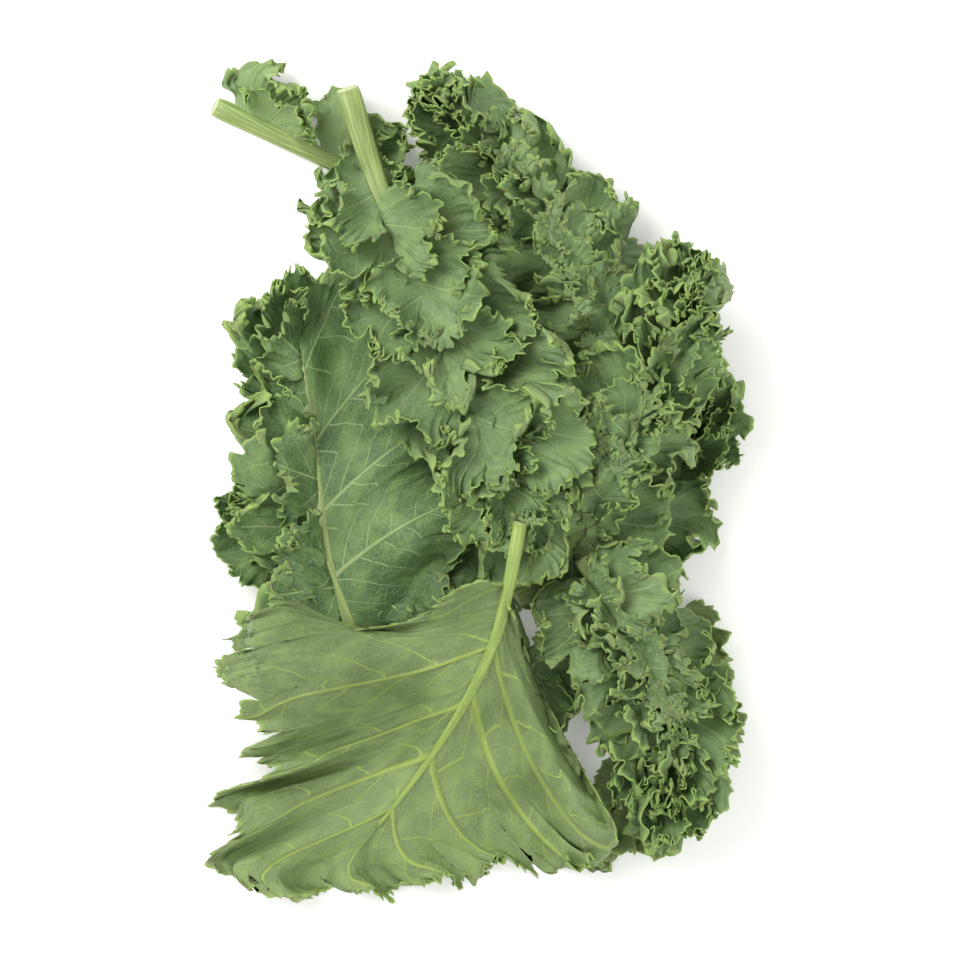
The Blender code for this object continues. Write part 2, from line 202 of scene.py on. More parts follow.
# Veins and patches in the materials. Scales are for each millimetre of a blade.
WANDER = 5.0
WANDER_SCALE = 0.028
BRANCH_LEAN = 0.9
MAIN_VEIN = (0.3, 0.0075)  # breadth at the margin, and further for each millimetre from it
BRANCH_VEIN = (0.2, 0.0035)
BRANCH_FADE = (4.0, 45.0, 0.85, 0.35)  # from one distance to another, and from one strength
NET_SCALE = 0.27
NET_LINE = 0.16
# The pale margin line: partly the blades' paler edge, partly a painted highlight for light caught on
# the frilled edges
MARGIN_AND_HIGHLIGHT_LINE = (0.15, 1.1)
MOTTLE_SCALE = 0.06
TONE_SCALE = 0.004
UPPER_VEINS = (14.0, 1.15)  # spacing of the branches and breadth of all
UNDERSIDE_VEINS = (14.0, 1.3)
PALE_UNDERSIDE_VEINS = (26.0, 1.6)
PATCH_SHARE = 0.55
YELLOW_SHARE = 0.2
NET_SHARE = 0.22
VEIN_SHARE = 0.85
# How far the pale margin, partly a painted highlight, is mixed in
MARGIN_AND_HIGHLIGHT_SHARE = 0.8
NET_HEIGHT = 0.35
STREAK_STRETCH = (1.0, 0.04, 0.0)
STREAK_SCALE = 0.9
CUT_GRAIN = 900.0

# The stage
FLOOR_DROP = 0.0002
KEY_PLACE = (-0.9, 0.7, 1.2)
KEY_SIZE = 1.1
FILL_PLACE = (0.9, -0.7, 1.2)
FILL_SIZE = 1.2
FILL_SHARE = 0.35
CAMERA_SHIFT = 0.001


@dataclass
class Flank:
    """The lobes down one side of a leaf: their lengths, the first one's place, and their angles."""

    lengths: tuple
    first: float
    spread: tuple


@dataclass
class Leaf:
    """One leaf. Left and right are as seen from above, looking from the cut end to the tip."""

    name: str
    rib_path: tuple
    left: Flank
    right: Flank
    tip_lobe: float
    stalk_radius: float
    lobe_half_width: float
    swing: float
    waves: float
    lift: float
    seed: int
    underside_up: bool = False
    root_half_width: float = LOBE_ROOT_HALF_WIDTH


# In the order in which they lie, the lowest first.
LEAVES = (
    Leaf("leaf_left_under", ((8, -34), (-36, -27), (-70, -26), (-94, -22)),
         Flank((44, 46, 40), 0.22, (70, 45)), Flank((48, 50, 40), 0.18, (70, 45)),
         30, 4.2, 27, 1.4, 2.0, 3, 11),
    Leaf("leaf_centre_under", ((-4, -6), (8, -42), (20, -72), (27, -96)),
         Flank((34, 30), 0.3, (62, 45)), Flank((40, 36, 30), 0.18, (68, 45)),
         26, 4.0, 24, 1.4, 1.8, 3, 12),
    Leaf("leaf_lower_right_under", ((92, -62), (102, -95), (102, -128), (88, -152)),
         Flank((22, 24, 26), 0.2, (65, 45)), Flank((42, 44, 40), 0.16, (65, 45)),
         28, 4.4, 25, 1.2, 2.0, 4, 13, underside_up=True),
    Leaf("leaf_top_outer_stalk",
         ((-126, 179), (-92, 163), (-59, 146), (-22, 119), (13, 88), (42, 54)),
         Flank((26, 34, 48, 54, 54), 0.1, (74, 45)), Flank((48, 58, 56), 0.4, (68, 45)),
         44, 5.0, 27, 1.5, 2.1, 4, 14),
    Leaf("leaf_top_right", ((76, 51), (58, 84), (38, 116), (10, 148), (-14, 172)),
         Flank((44, 44, 38, 28), 0.18, (68, 42)), Flank((40, 42, 42, 32), 0.14, (68, 42)),
         24, 4.4, 26, 1.6, 2.5, 5, 15),
    Leaf("leaf_right_middle", ((18, -56), (52, -38), (80, -17), (98, 6), (104, 28)),
         Flank((50, 52, 44), 0.22, (66, 42)), Flank((42, 36, 30), 0.18, (66, 42)),
         26, 4.4, 27, 1.6, 2.4, 5, 16),
    Leaf("leaf_right_upper", ((38, -37), (60, 0), (78, 36), (90, 64), (95, 84)),
         Flank((52, 52, 46, 36), 0.22, (66, 40)), Flank((40, 36, 34, 30), 0.18, (66, 40)),
         28, 4.4, 27, 1.6, 2.3, 5, 38),
    Leaf("leaf_lower_right", ((48, -36), (67, -65), (81, -93), (90, -120), (90, -144)),
         Flank((42, 44, 42, 34), 0.2, (66, 42)), Flank((42, 44, 42, 36), 0.16, (66, 42)),
         30, 4.4, 25, 1.6, 2.4, 5, 18),
    Leaf("leaf_middle_left", ((-60, -72), (-71, -38), (-75, -7), (-79, 30), (-84, 60)),
         Flank((40, 42, 38), 0.22, (72, 44)), Flank((60, 96, 92, 58), 0.18, (72, 44)),
         36, 4.6, 32, 1.15, 1.8, 5, 19),
    Leaf("leaf_top_inner_stalk",
         ((-62, 185), (-54, 159), (-46, 135), (-31, 100), (-15, 61), (3, 19), (14, -10)),
         Flank((50, 62, 64, 56, 42), 0.35, (70, 42)), Flank((40, 48, 50, 46, 36), 0.31, (70, 42)),
         42, 5.8, 29, 1.4, 1.9, 5, 20),
    Leaf("leaf_lower_left_broad",
         ((19, -19), (13, -51), (6, -77), (-10, -110), (-31, -142), (-48, -164)),
         Flank((106, 82, 38), 0.3, (34, 92)), Flank((104, 124, 94, 102, 86), 0.27, (80, 50)),
         20, 4.6, 31, 0.8, 1.2, 3, 21, underside_up=True, root_half_width=15.0),
)


def smooth_path(points, samples):
    """A smooth curve through the points, sampled evenly along its length."""
    knots = np.array(points, float)
    ends = np.vstack([2 * knots[0] - knots[1], knots, 2 * knots[-1] - knots[-2]])
    share = np.linspace(0, 1, SAMPLES_BETWEEN_KNOTS, endpoint=False)[:, None]
    stretches = []
    for before, start, end, after in zip(ends, ends[1:], ends[2:], ends[3:]):
        leave, arrive = (end - before) / 2, (after - start) / 2
        cubic = 2 * start - 2 * end + leave + arrive
        square = -3 * start + 3 * end - 2 * leave - arrive
        stretches.append(start + leave * share + square * share**2 + cubic * share**3)
    dense = np.vstack([*stretches, knots[-1]])
    run = np.r_[0, np.cumsum(np.linalg.norm(np.diff(dense, axis=0), axis=1))]
    even = np.linspace(0, run[-1], samples)
    return np.column_stack([np.interp(even, run, dense[:, axis]) for axis in range(2)])


class Rib:
    """A leaf's stalk and rib in plan, and its radius along the way."""

    def __init__(self, leaf):
        self.points = smooth_path(leaf.rib_path, LINE_SAMPLES)
        slopes = np.gradient(self.points, axis=0)
        self.headings = np.unwrap(np.arctan2(slopes[:, 1], slopes[:, 0]))
        self.share = np.linspace(0, 1, LINE_SAMPLES)
        self.length = np.linalg.norm(np.diff(self.points, axis=0), axis=1).sum()
        growth = (1 - self.share) ** RIB_TAPER
        self.radii = RIB_TIP_RADIUS + (leaf.stalk_radius - RIB_TIP_RADIUS) * growth

    def at(self, share):
        """Plan point, heading and radius at a share of the length, or at each of several."""
        point = np.stack([np.interp(share, self.share, self.points[:, axis]) for axis in range(2)],
                         axis=-1)
        heading = np.interp(share, self.share, self.headings)
        return point, heading, np.interp(share, self.share, self.radii)


@dataclass
class Lobe:
    """One lobe of a leaf. Side is 1 for left, -1 for right and 0 for the tip's."""

    share: float
    side: int
    length: float
    angle: float
    phase: float
    lift: float
    tilt: float


def either_way(draw, spread):
    """A number up to the spread below or above 0."""
    return draw.uniform(-spread, spread)


def varied(draw, spread):
    """A factor up to the spread below or above 1."""
    return draw.uniform(1 - spread, 1 + spread)


def any_turn(draw):
    """An angle in the whole circle."""
    return draw.uniform(0, 2 * math.pi)


def any_phase(draw):
    """An angle that stops a little short of the whole circle."""
    return draw.uniform(0, LAST_PHASE)


def lobes_of(leaf):
    """The leaf's lobes from the stalk to the tip, with seeded differences between them."""
    draw = np.random.default_rng(leaf.seed)
    lobes = []
    for side, flank in ((1, leaf.left), (-1, leaf.right)):
        shares = np.linspace(flank.first, LAST_LOBE, len(flank.lengths))
        angles = np.linspace(*flank.spread, len(flank.lengths))
        for share, angle, length in zip(shares, angles, flank.lengths):
            lobes.append(Lobe(
                share, side, length * varied(draw, LENGTH_SPREAD),
                math.radians(angle + either_way(draw, ANGLE_SPREAD)), any_turn(draw),
                leaf.lift + either_way(draw, LIFT_SPREAD), LOUVRE_TILT * varied(draw, TILT_SPREAD)))
    lobes.append(Lobe(1.0, 0, leaf.tip_lobe, 0.0, any_turn(draw), leaf.lift, 0.0))
    return lobes


def meander(slopes):
    """Lines that swing up and down as a river meanders, over -1 to 1 across, and their lengths.

    The slopes are in radians, along the last axis, and a length is for a width of 1.
    """
    def run(steps):
        start = np.zeros(steps.shape[:-1] + (1,))
        return np.concatenate([start, np.cumsum(steps, axis=-1)], axis=-1)

    across, height = run(np.cos(slopes)), run(np.sin(slopes))
    height = height - np.linspace(0, 1, height.shape[-1]) * height[..., -1:]
    width = across[..., -1:]
    height = 2 * (height - height.mean(axis=-1, keepdims=True)) / width
    return 2 * across / width - 1, height, slopes.shape[-1] / width


def ruffles(leaf, lobe, rows, samples):
    """How steeply a lobe's ruffles swing at each place of its rows."""
    places = (np.arange(samples) + 0.5) / samples
    turn = 2 * math.pi * leaf.waves * places + lobe.phase
    return leaf.swing * np.array(rows)[:, None] ** RUFFLE_GROWTH * np.sin(turn)


def ruffle_turns(leaf, lobe):
    """Where along a lobe's line its ruffles turn, at crests and troughs, with both ends."""
    first = math.ceil(lobe.phase / math.pi)
    last = math.floor(lobe.phase / math.pi + 2 * leaf.waves)
    turns = (np.arange(first, last + 1) * math.pi - lobe.phase) / (2 * math.pi * leaf.waves)
    inner = turns[(turns > SHORTEST_COLUMN) & (turns < 1 - SHORTEST_COLUMN)]
    places = np.r_[0, inner, 1]
    wide = np.diff(places) > LONGEST_COLUMN
    return np.sort(np.r_[places, (places[:-1] + places[1:])[wide] / 2])


def lobe_frame(leaf, rib, lobe):
    """A lobe's root, the direction that its root lies along, its fan and half the root's width."""
    root, heading, radius = rib.at(lobe.share)
    along = np.array([math.cos(heading), math.sin(heading)])
    fan = leaf.lobe_half_width / lobe.length
    if lobe.side == 0:
        return root, np.array([-along[1], along[0]]), heading, radius, TIP_LOBE_FAN * fan, radius
    return root, along, heading, radius, fan, leaf.root_half_width


def fanned(lobe, heading, fan, across):
    """The heading of a lobe's blade at each place across it."""
    if lobe.side == 0:
        return heading + fan * across
    return heading + lobe.side * (lobe.angle - fan * across)


def lobe_surface(leaf, rib, lobe, rows, columns):
    """The middle surface of a lobe as the solid has it, rows by columns by three."""
    root, along, heading, radius, fan, root_half = lobe_frame(leaf, rib, lobe)
    root_height = radius * ROOT_HEIGHT_ON_RIB * (-1 if leaf.underside_up else 1)
    picks = (columns * (LINE_SAMPLES - 1)).round().astype(int)
    across, height, _ = meander(ruffles(leaf, lobe, rows, LINE_SAMPLES - 1))
    across, height = across[:, picks], height[:, picks]
    row = np.array(rows)[:, None]
    reach = row * lobe.length * (1 - LOBE_TIP_ROUNDING * across**2)
    headings = fanned(lobe, heading, fan, across)
    half_width = root_half + row * lobe.length * fan
    ruffled = half_width * (PRESSED * height + lobe.tilt * row * across)
    return np.dstack([
        root[0] + along[0] * root_half * across + reach * np.cos(headings),
        root[1] + along[1] * root_half * across + reach * np.sin(headings),
        root_height + lobe.lift * row**2 + ruffled,
    ])


@dataclass
class Habit:
    """How a leaf's blade grows. Sizes are in millimetres and angles in radians.

    Curls swing by curl, each curl_margin long, and the margin turns up by bend. A blade has
    fingers with a cleft between them and a rounding at the tip, and fans out wider than the
    solid's by widen. Tiers are the shorter lobes' lengths as shares of their lobe's, and start
    over the rib or beside it. A leaf with rays is one sheet instead, with a pleat between its
    veins and perhaps left_lobes over its left side, and rounding, widen and tiers aren't used.
    Its rib is thinner than the solid's by rib_share.
    """

    curl: float
    curl_margin: float
    bend: float
    fingers: float
    cleft: float
    rounding: float
    widen: float
    tiers: tuple
    over_rib: bool
    tone: str
    side_ruffle: float = 2.0
    detail: float = 1.0
    rays: tuple = ()
    pleat: float = 1.0
    rib_share: float = 1.0
    left_lobes: object = None


# A whole blade's rays, down its right side, round the tip and up its left side. Each has its
# share of the rib, its angle to it (left is more than 0), its length, the lobes passed so far
# (whole at a lobe's middle vein) and how far it bows away from the rib.
BROAD_RAYS = (
    (0.17, -88, 10, 0.4, 10), (0.23, -66, 42, 0.5, 10), (0.26, -70, 72, 0.57, 16),
    (0.29, -84, 110, 0.65, 34), (0.36, -66, 126, 1.0, 24), (0.43, -54, 114, 1.35, 14),
    (0.48, -50, 92, 1.5, 12), (0.54, -48, 110, 2.0, 14), (0.62, -45, 80, 2.5, 12),
    (0.72, -44, 106, 3.0, 12), (0.83, -42, 80, 3.5, 12), (0.93, -36, 94, 4.0, 14),
    (1.0, -24, 62, 4.5, 10), (1.0, -4, 44, 5.0, 4), (1.0, 22, 32, 5.5, 8),
    (0.93, 50, 46, 6.0, 12), (0.84, 52, 48, 6.5, 12), (0.74, 54, 70, 7.0, 12),
    (0.62, 54, 76, 7.5, 12), (0.52, 50, 104, 8.0, 12), (0.42, 47, 112, 8.5, 12),
    (0.35, 45, 132, 9.0, 14), (0.29, 44, 120, 9.4, 16), (0.25, 38, 76, 9.6, 16),
    (0.2, 30, 10, 9.8, 10),
)
MIDDLE_RAYS = (
    (0.02, -145, 16, 0.2, 4), (0.04, -122, 40, 0.4, 8), (0.11, -96, 56, 0.6, 10),
    (0.2, -76, 78, 1.0, 12), (0.30, -68, 66, 1.4, 12), (0.36, -64, 78, 1.6, 12),
    (0.44, -60, 100, 2.0, 12), (0.53, -56, 78, 2.45, 12), (0.60, -52, 80, 2.6, 12),
    (0.68, -50, 94, 3.0, 12), (0.78, -46, 64, 3.45, 12), (0.86, -44, 58, 3.7, 12),
    (0.94, -38, 60, 4.0, 12), (1.0, -26, 38, 4.5, 8), (1.0, 0, 40, 5.0, 2),
    (1.0, 26, 30, 5.5, 8), (0.93, 46, 47, 6.0, 12), (0.78, 54, 24, 6.5, 12),
    (0.62, 60, 48, 7.0, 12), (0.48, 66, 21, 7.5, 12), (0.34, 72, 47, 8.0, 12),
    (0.22, 80, 24, 8.5, 12), (0.14, 84, 34, 8.8, 10), (0.08, 96, 26, 9.1, 8),
    (0.03, 125, 12, 9.3, 4),
)

CURLY = Habit(curl=1.4, curl_margin=7.0, bend=1.2, fingers=3.3, cleft=0.34, rounding=0.38,
              widen=1.4, tiers=(0.66, 0.42), over_rib=True, tone="middle")
LOOSE = replace(CURLY, curl=1.1, curl_margin=8.0, bend=0.9, fingers=3.0, cleft=0.25,
                rounding=0.34, widen=1.3, tiers=(), tone="deep", detail=0.7)
LOBES_OVER_BLADE = replace(CURLY, bend=0.8, fingers=3.2, cleft=0.3, rounding=0.34, widen=1.25,
                           tiers=(1.0, 0.68), over_rib=False, tone="deep", detail=0.8)
HABITS = {
    "leaf_left_under": replace(LOOSE, tiers=(0.62,), detail=0.8),
    "leaf_centre_under": LOOSE,
    "leaf_lower_right_under": replace(
        LOOSE, curl=0.9, curl_margin=9.0, bend=0.7, cleft=0.2, rounding=0.3, widen=1.2,
        over_rib=False, tone="middle", detail=0.8),
    "leaf_top_outer_stalk": replace(
        CURLY, curl=1.45, cleft=0.3, rounding=0.36, tiers=(0.62,), tone="bright"),
    "leaf_top_right": CURLY,
    "leaf_right_middle": replace(CURLY, detail=0.9),
    "leaf_right_upper": CURLY,
    "leaf_lower_right": CURLY,
    "leaf_middle_left": replace(
        CURLY, curl=1.3, curl_margin=9.0, bend=0.35, fingers=36.0, cleft=0.2, tone="deep",
        rays=MIDDLE_RAYS, pleat=1.2, rib_share=0.8, left_lobes=LOBES_OVER_BLADE),
    "leaf_top_inner_stalk": replace(
        CURLY, bend=1.15, fingers=3.2, cleft=0.32, rounding=0.36, widen=1.35, tiers=(0.6,),
        side_ruffle=2.5),
    "leaf_lower_left_broad": replace(
        CURLY, curl=1.0, curl_margin=10.0, bend=0.75, fingers=38.0, cleft=0.13, tone="pale",
        rays=BROAD_RAYS, pleat=1.5, rib_share=0.72),
}


def tiers_of(leaf, habit):
    """The leaf's lobes, each with the shorter ones that grow over it, as (lobe, tier) pairs."""
    draw = np.random.default_rng(TIER_SEED + leaf.seed)
    pairs = []
    for lobe in lobes_of(leaf):
        pairs.append((lobe, 0))
        for tier, share_of_length in enumerate(habit.tiers, start=1):
            share = float(np.clip(lobe.share + either_way(draw, TIER_PLACE_SPREAD), 0, 1))
            length = lobe.length * share_of_length * varied(draw, TIER_LENGTH_SPREAD)
            pairs.append((Lobe(
                share, lobe.side, length, lobe.angle + either_way(draw, TIER_ANGLE_SPREAD),
                any_turn(draw), lobe.lift + TIER_LIFT * tier,
                lobe.tilt * varied(draw, TIER_TILT_SPREAD)), tier))
    return pairs


def gently(knots, values):
    """Values between knots at even places from 0 to 1, with the corners rounded."""
    even = np.interp(np.linspace(0, 1, GENTLE_SAMPLES), knots, values)
    padded = np.pad(even, GENTLE_REACH, mode="edge")
    window = np.hanning(2 * GENTLE_REACH + 1)
    return np.convolve(padded, window / window.sum(), "valid")


def ruffled_margin(width, slopes):
    """The length of a ruffled margin that takes up this width."""
    return min(width / np.cos(slopes[-1]).mean(), MOST_MARGIN * width)


def curled_line(slopes, to_margin, margin, habit, draw):
    """A blade's ruffled lines with finer curls, and the ruffles' height on its own.

    The margin is the length of the blade's edge. The lines keep one point in CURL_SAMPLES.
    """
    samples = slopes.shape[-1]
    places = (np.arange(samples) + 0.5) / samples
    coarse = meander(slopes)[1]
    for swing, length, depth in CURL_SETS:
        waves = margin / (length * habit.curl_margin)
        drift = np.sin(DRIFT_RATE * places * draw.uniform(*DRIFT_SPREAD) + any_phase(draw))
        drifted = places + CURL_DRIFT / waves * drift
        swell = np.sin(2 * math.pi * draw.uniform(*SWELL_TURNS) * places + any_phase(draw))
        turn = 2 * math.pi * waves * drifted + any_turn(draw)
        strength = habit.curl * swing * (1 + SWELL * swell)
        slopes = slopes + strength * np.exp(-to_margin / depth) * np.sin(turn)
    across, height, longer = meander(slopes)
    keep = slice(None, None, CURL_SAMPLES)
    return across[:, keep], coarse[:, keep], (height - coarse)[:, keep], longer


def grown(habit, draw, row, lengths, outline, rise):
    """How far out and up a blade's points lie, with fingers, teeth and a margin that turns up."""
    columns = outline.shape[-1]
    places = np.linspace(0, 1, columns)
    finger = habit.fingers * places
    finger = finger + FINGER_DRIFT * np.sin(
        2 * math.pi * FINGER_DRIFT_RATE * finger + any_phase(draw))
    uneven = np.sin(2 * math.pi * CLEFT_RATE * finger + any_phase(draw))
    fingers = np.abs(np.sin(math.pi * finger + draw.uniform(0, math.pi)))
    clefts = (1 - CLEFT_SPREAD + CLEFT_SPREAD * uneven) * (1 - fingers) ** CLEFT_SHARPNESS
    outline = outline * (1 - habit.cleft * row * clefts)
    teeth = np.convolve(draw.normal(0, 1, columns + 2), TOOTH_WINDOW, "valid")
    to_margin = (1 - row) * lengths
    reach = row * lengths * outline + TOOTH * teeth * np.exp(-to_margin / TOOTH_DEPTH)
    swings = draw.uniform(*BEND_RATES) * habit.fingers
    turned = np.sin(2 * math.pi * swings * places + any_phase(draw))
    bend = habit.bend * (1 - BEND_SPREAD + BEND_SPREAD * turned)
    slope = bend * np.exp(-((to_margin / BEND_DEPTH) ** 2)) + rise
    middle_slope = (slope[1:] + slope[:-1]) / 2
    strides = np.diff(reach, axis=0)
    zero = np.zeros((1, columns))
    out = np.concatenate([zero, np.cumsum(strides * np.cos(middle_slope), axis=0)])
    up = np.concatenate([zero, np.cumsum(strides * np.sin(middle_slope), axis=0)])
    return out, up, slope


def rooted(leaf, lobe, tier, habit, root, along, radius):
    """Where a lobe starts, in plan and in height: across the rib, beside it or in it."""
    sideways = lobe.side * radius * np.array([-along[1], along[0]])
    other_flank = leaf.right if lobe.side == 1 else leaf.left
    if habit.over_rib and lobe.side and lobe.share >= other_flank.first:
        return root - sideways * ROOT_ACROSS_RIB, radius * (1 + TIER_ROOT_RISE * tier)
    if habit.over_rib and lobe.side:
        return root + sideways * ROOT_BESIDE_RIB, radius * ROOT_HEIGHT_ON_RIB
    return root, radius * ROOT_HEIGHT_ON_RIB * (-1 if leaf.underside_up else 1)


def side_waves(lobe, habit, draw, row, across):
    """How a lobe's side margins sway in plan and ripple in height, from the root on."""
    side = np.sign(across) * np.abs(across) ** SIDE_SHARPNESS
    run = row * lobe.length / habit.curl_margin
    starts = np.where(across > 0, any_phase(draw), any_phase(draw))
    sway = SIDE_SWAY * side * np.sin(2 * math.pi * run / SIDE_SWAY_LENGTH + starts)
    ripple = np.abs(side) * sum(size * np.sin(2 * math.pi * run / length + times * starts)
                                for size, length, times in SIDE_RIPPLES)
    onset = np.minimum(1, SIDE_ONSET * row)
    return sway * onset, habit.side_ruffle * ripple * onset


def curly_surface(laid, lobe, tier, habit, draw, steps, columns):
    """A lobe's surface with fingers, curls and a margin that turns up, and its places in mm."""
    leaf = laid.leaf
    root, along, heading, radius, fan, root_half = lobe_frame(leaf, laid.rib, lobe)
    if tier:
        fan = min(fan * TIER_FAN, MOST_FAN)
    fan = min(habit.widen * fan, max(fan, MOST_FAN))
    row = steps[:, None]
    slopes = ruffles(leaf, lobe, steps, CURL_SAMPLES * columns)
    margin = ruffled_margin(2 * (LOBE_ROOT_HALF_WIDTH + leaf.lobe_half_width), slopes)
    to_margin = (1 - row) * lobe.length
    across, coarse, fine, longer = curled_line(slopes, to_margin, margin, habit, draw)
    outline = 1 - habit.rounding * across**2
    out, up, slope = grown(habit, draw, row, lobe.length, outline, TIER_RISE[tier])
    half_width = root_half + row * lobe.length * fan
    fine, coarse = half_width * PRESSED_CURLS * fine, half_width * PRESSED * coarse
    out = out - np.sin(slope) * (fine + CREST_OVERHANG * coarse)
    root, root_height = rooted(leaf, lobe, tier, habit, root, along, radius)
    sway, ripple = side_waves(lobe, habit, draw, row, across)
    headings = fanned(lobe, heading, fan, across + sway)
    surface = np.dstack([
        root[0] + along[0] * root_half * across + out * np.cos(headings),
        root[1] + along[1] * root_half * across + out * np.sin(headings),
        root_height + lobe.lift * row**2 + up + ripple + np.cos(slope) * fine
        + coarse * (1 - CREST_OVERHANG * np.sin(slope)) + half_width * lobe.tilt * row * across,
    ])
    arcs = (2 * np.linspace(0, 1, columns + 1) - 1) * half_width * longer
    return surface, arcs


def whole_surface(laid, habit, draw, steps, columns):
    """A blade in one sheet, down one side of the rib and up the other, and its places in mm."""
    leaf, rib = laid.leaf, laid.rib
    shares, angles, lengths, lobes, bows = np.array(habit.rays, float).T
    points, headings, _ = rib.at(shares)
    ends = headings + np.radians(angles)
    ends = points + lengths[:, None] * np.column_stack([np.cos(ends), np.sin(ends)])
    runs = np.linalg.norm(np.diff(ends, axis=0), axis=1)
    knots = np.r_[0, np.cumsum(runs)] / runs.sum()
    even = np.linspace(0, 1, GENTLE_SAMPLES)
    share_line, angle_line, length_line, bow_line = (
        gently(knots, part) for part in (shares, angles, lengths, np.sign(angles) * bows))
    row = steps[:, None]
    samples = CURL_SAMPLES * columns
    turns = np.interp((np.arange(samples) + 0.5) / samples, knots, lobes)
    slopes = -habit.pleat * row ** RUFFLE_GROWTH * np.sin(2 * math.pi * turns)
    margin = ruffled_margin(runs.sum(), slopes)
    to_margin = (1 - row) * lengths.mean()
    across, coarse, fine, longer = curled_line(slopes, to_margin, margin, habit, draw)
    place = (across + 1) / 2
    length = np.interp(place, even, length_line)
    out, up, slope = grown(habit, draw, row, length, np.ones_like(place), 0.0)
    root_run = 2 * (shares.max() - shares.min()) * rib.length
    half_width = (root_run + row * (runs.sum() - root_run)) / 2
    fine, coarse = half_width * PRESSED_CURLS * fine, half_width * PRESSED * coarse
    out = out - np.sin(slope) * fine
    root, heading, radius = rib.at(np.interp(place, even, share_line))
    bow = np.interp(place, even, bow_line) * (row - 1)
    heading = heading + np.radians(np.interp(place, even, angle_line) + bow)
    root_height = radius * (-ROOT_HEIGHT_ON_RIB if leaf.underside_up else ROOT_ON_UPPER_SIDE)
    surface = np.dstack([
        root[..., 0] + out * np.cos(heading), root[..., 1] + out * np.sin(heading),
        root_height + leaf.lift * row**2 + up + np.cos(slope) * fine + coarse,
    ])
    columns_at = np.linspace(0, 1, columns + 1)
    passed = np.interp(columns_at, knots, lobes)
    steps_to_vein = np.interp(passed.round(), lobes, knots) * columns / COLUMN_STEP
    nearest = steps_to_vein.round() * COLUMN_STEP / columns
    arcs = 2 * np.abs(columns_at - nearest) * half_width * longer
    return surface, arcs, np.floor(passed), length


def rib_rings(rib, rings):
    """Rings of points round the rib, and the plan point at each ring's centre."""
    turn = 2 * math.pi * (np.arange(RIB_SIDES) + 0.5) / RIB_SIDES
    centres, headings, radii = rib.at(np.linspace(0, 1, rings + 1))
    sideways = radii[:, None] * np.sin(turn)
    circles = np.stack([
        centres[:, :1] - np.sin(headings)[:, None] * sideways,
        centres[:, 1:] + np.cos(headings)[:, None] * sideways,
        -radii[:, None] * RIB_FLATTENING * np.cos(turn),
    ], axis=-1)
    return circles, centres


def grid_triangles(surface, closed=False):
    """Corner points of the triangles of a rows-by-columns surface."""
    if closed:
        surface = np.concatenate([surface, surface[:, :1]], axis=1)
    a, b = surface[:-1, :-1], surface[:-1, 1:]
    c, d = surface[1:, 1:], surface[1:, :-1]
    return np.concatenate([np.stack(corners, axis=2).reshape(-1, 3, 3)
                           for corners in ((a, b, c), (a, c, d))])


def spread(grid, radius, pick):
    """Each cell takes the highest or the lowest of the cells within radius of it."""
    cells = max(1, round(radius / CELL))
    for axis in (0, 1):
        grid = pick.reduce([np.roll(grid, shift, axis) for shift in range(-cells, cells + 1)])
    return grid


def blur(grid, radius):
    """Box blur, done twice at half the radius so that the result has no kinks."""
    cells = max(1, round(radius / CELL / 2))
    for axis in (0, 1, 0, 1):
        grid = sum(np.roll(grid, shift, axis) for shift in range(-cells, cells + 1))
        grid = grid / (2 * cells + 1)
    return grid


def smooth_above(needed, radius):
    """A smooth height field that is nowhere below the one that is needed."""
    high = spread(needed, radius, np.maximum)
    known = np.isfinite(high)
    return blur(np.where(known, high, 0), radius) / np.maximum(blur(known * 1.0, radius), 1e-6)


class Heap:
    """The height of what has been laid so far, in square cells seen from above."""

    def __init__(self):
        self.shape = tuple(int(2 * half / CELL) for half in HALF_FIELD)
        self.top = np.full(self.shape, -math.inf)
        axes = [(np.arange(n) + 0.5) * CELL - half for n, half in zip(self.shape, HALF_FIELD)]
        self.centres = np.stack(np.meshgrid(*axes, indexing="ij"), axis=-1)

    def seen(self, triangles, pick, empty):
        """The highest or the lowest point of the triangles in each cell."""
        steps = np.linspace(0, 1, TRIANGLE_LATTICE)
        weights = np.array([(1 - u, u * (1 - v), u * v) for u in steps for v in steps])
        points = np.einsum("wc,tcx->twx", weights, triangles).reshape(-1, 3)
        cells = ((points[:, :2] + HALF_FIELD) / CELL).astype(int)
        grid = np.full(self.shape, empty)
        pick.at(grid, (cells[:, 0], cells[:, 1]), points[:, 2])
        return spread(grid, CELL, pick)

    def needed(self, triangles):
        """How far each cell of the leaf has to rise to be clear of the heap and the floor."""
        bottom = self.seen(triangles, np.minimum, math.inf)
        floor = np.maximum(spread(self.top, CELL, np.maximum) + LEAF_GAP + BLADE_THICKNESS,
                           FLOOR_GAP + BLADE_THICKNESS / 2)
        return np.where(np.isfinite(bottom), floor - bottom, -math.inf)

    def rise_under(self, leaf, rib, needed):
        """How far to raise the leaf in each cell: it drapes, and its rib stays a smooth line."""
        drape = smooth_above(needed, DRAPE_RADIUS)
        centres = self.centres[:, :, None, :] - rib.points[::RIB_STRIDE]
        away = np.linalg.norm(centres, axis=-1)
        close = np.where(away < RIB_CORRIDOR, needed[:, :, None], -math.inf).max(axis=(0, 1))
        share = rib.share[::RIB_STRIDE]
        bare_share = max(leaf.left.first, leaf.right.first)
        reach = np.interp(share, (0, bare_share), (RIB_END_STIFFNESS, RIB_STIFFNESS))
        near = np.abs(share[:, None] - share) * rib.length < reach[:, None]
        high = np.where(near, close, -math.inf).max(axis=1)
        rib_rise = (near * high).sum(axis=1) / near.sum(axis=1)
        nearest = away.argmin(axis=2)
        stiff = np.exp(-((away.min(axis=2) / RIB_CORRIDOR) ** 2))
        return stiff * rib_rise[nearest] + (1 - stiff) * drape


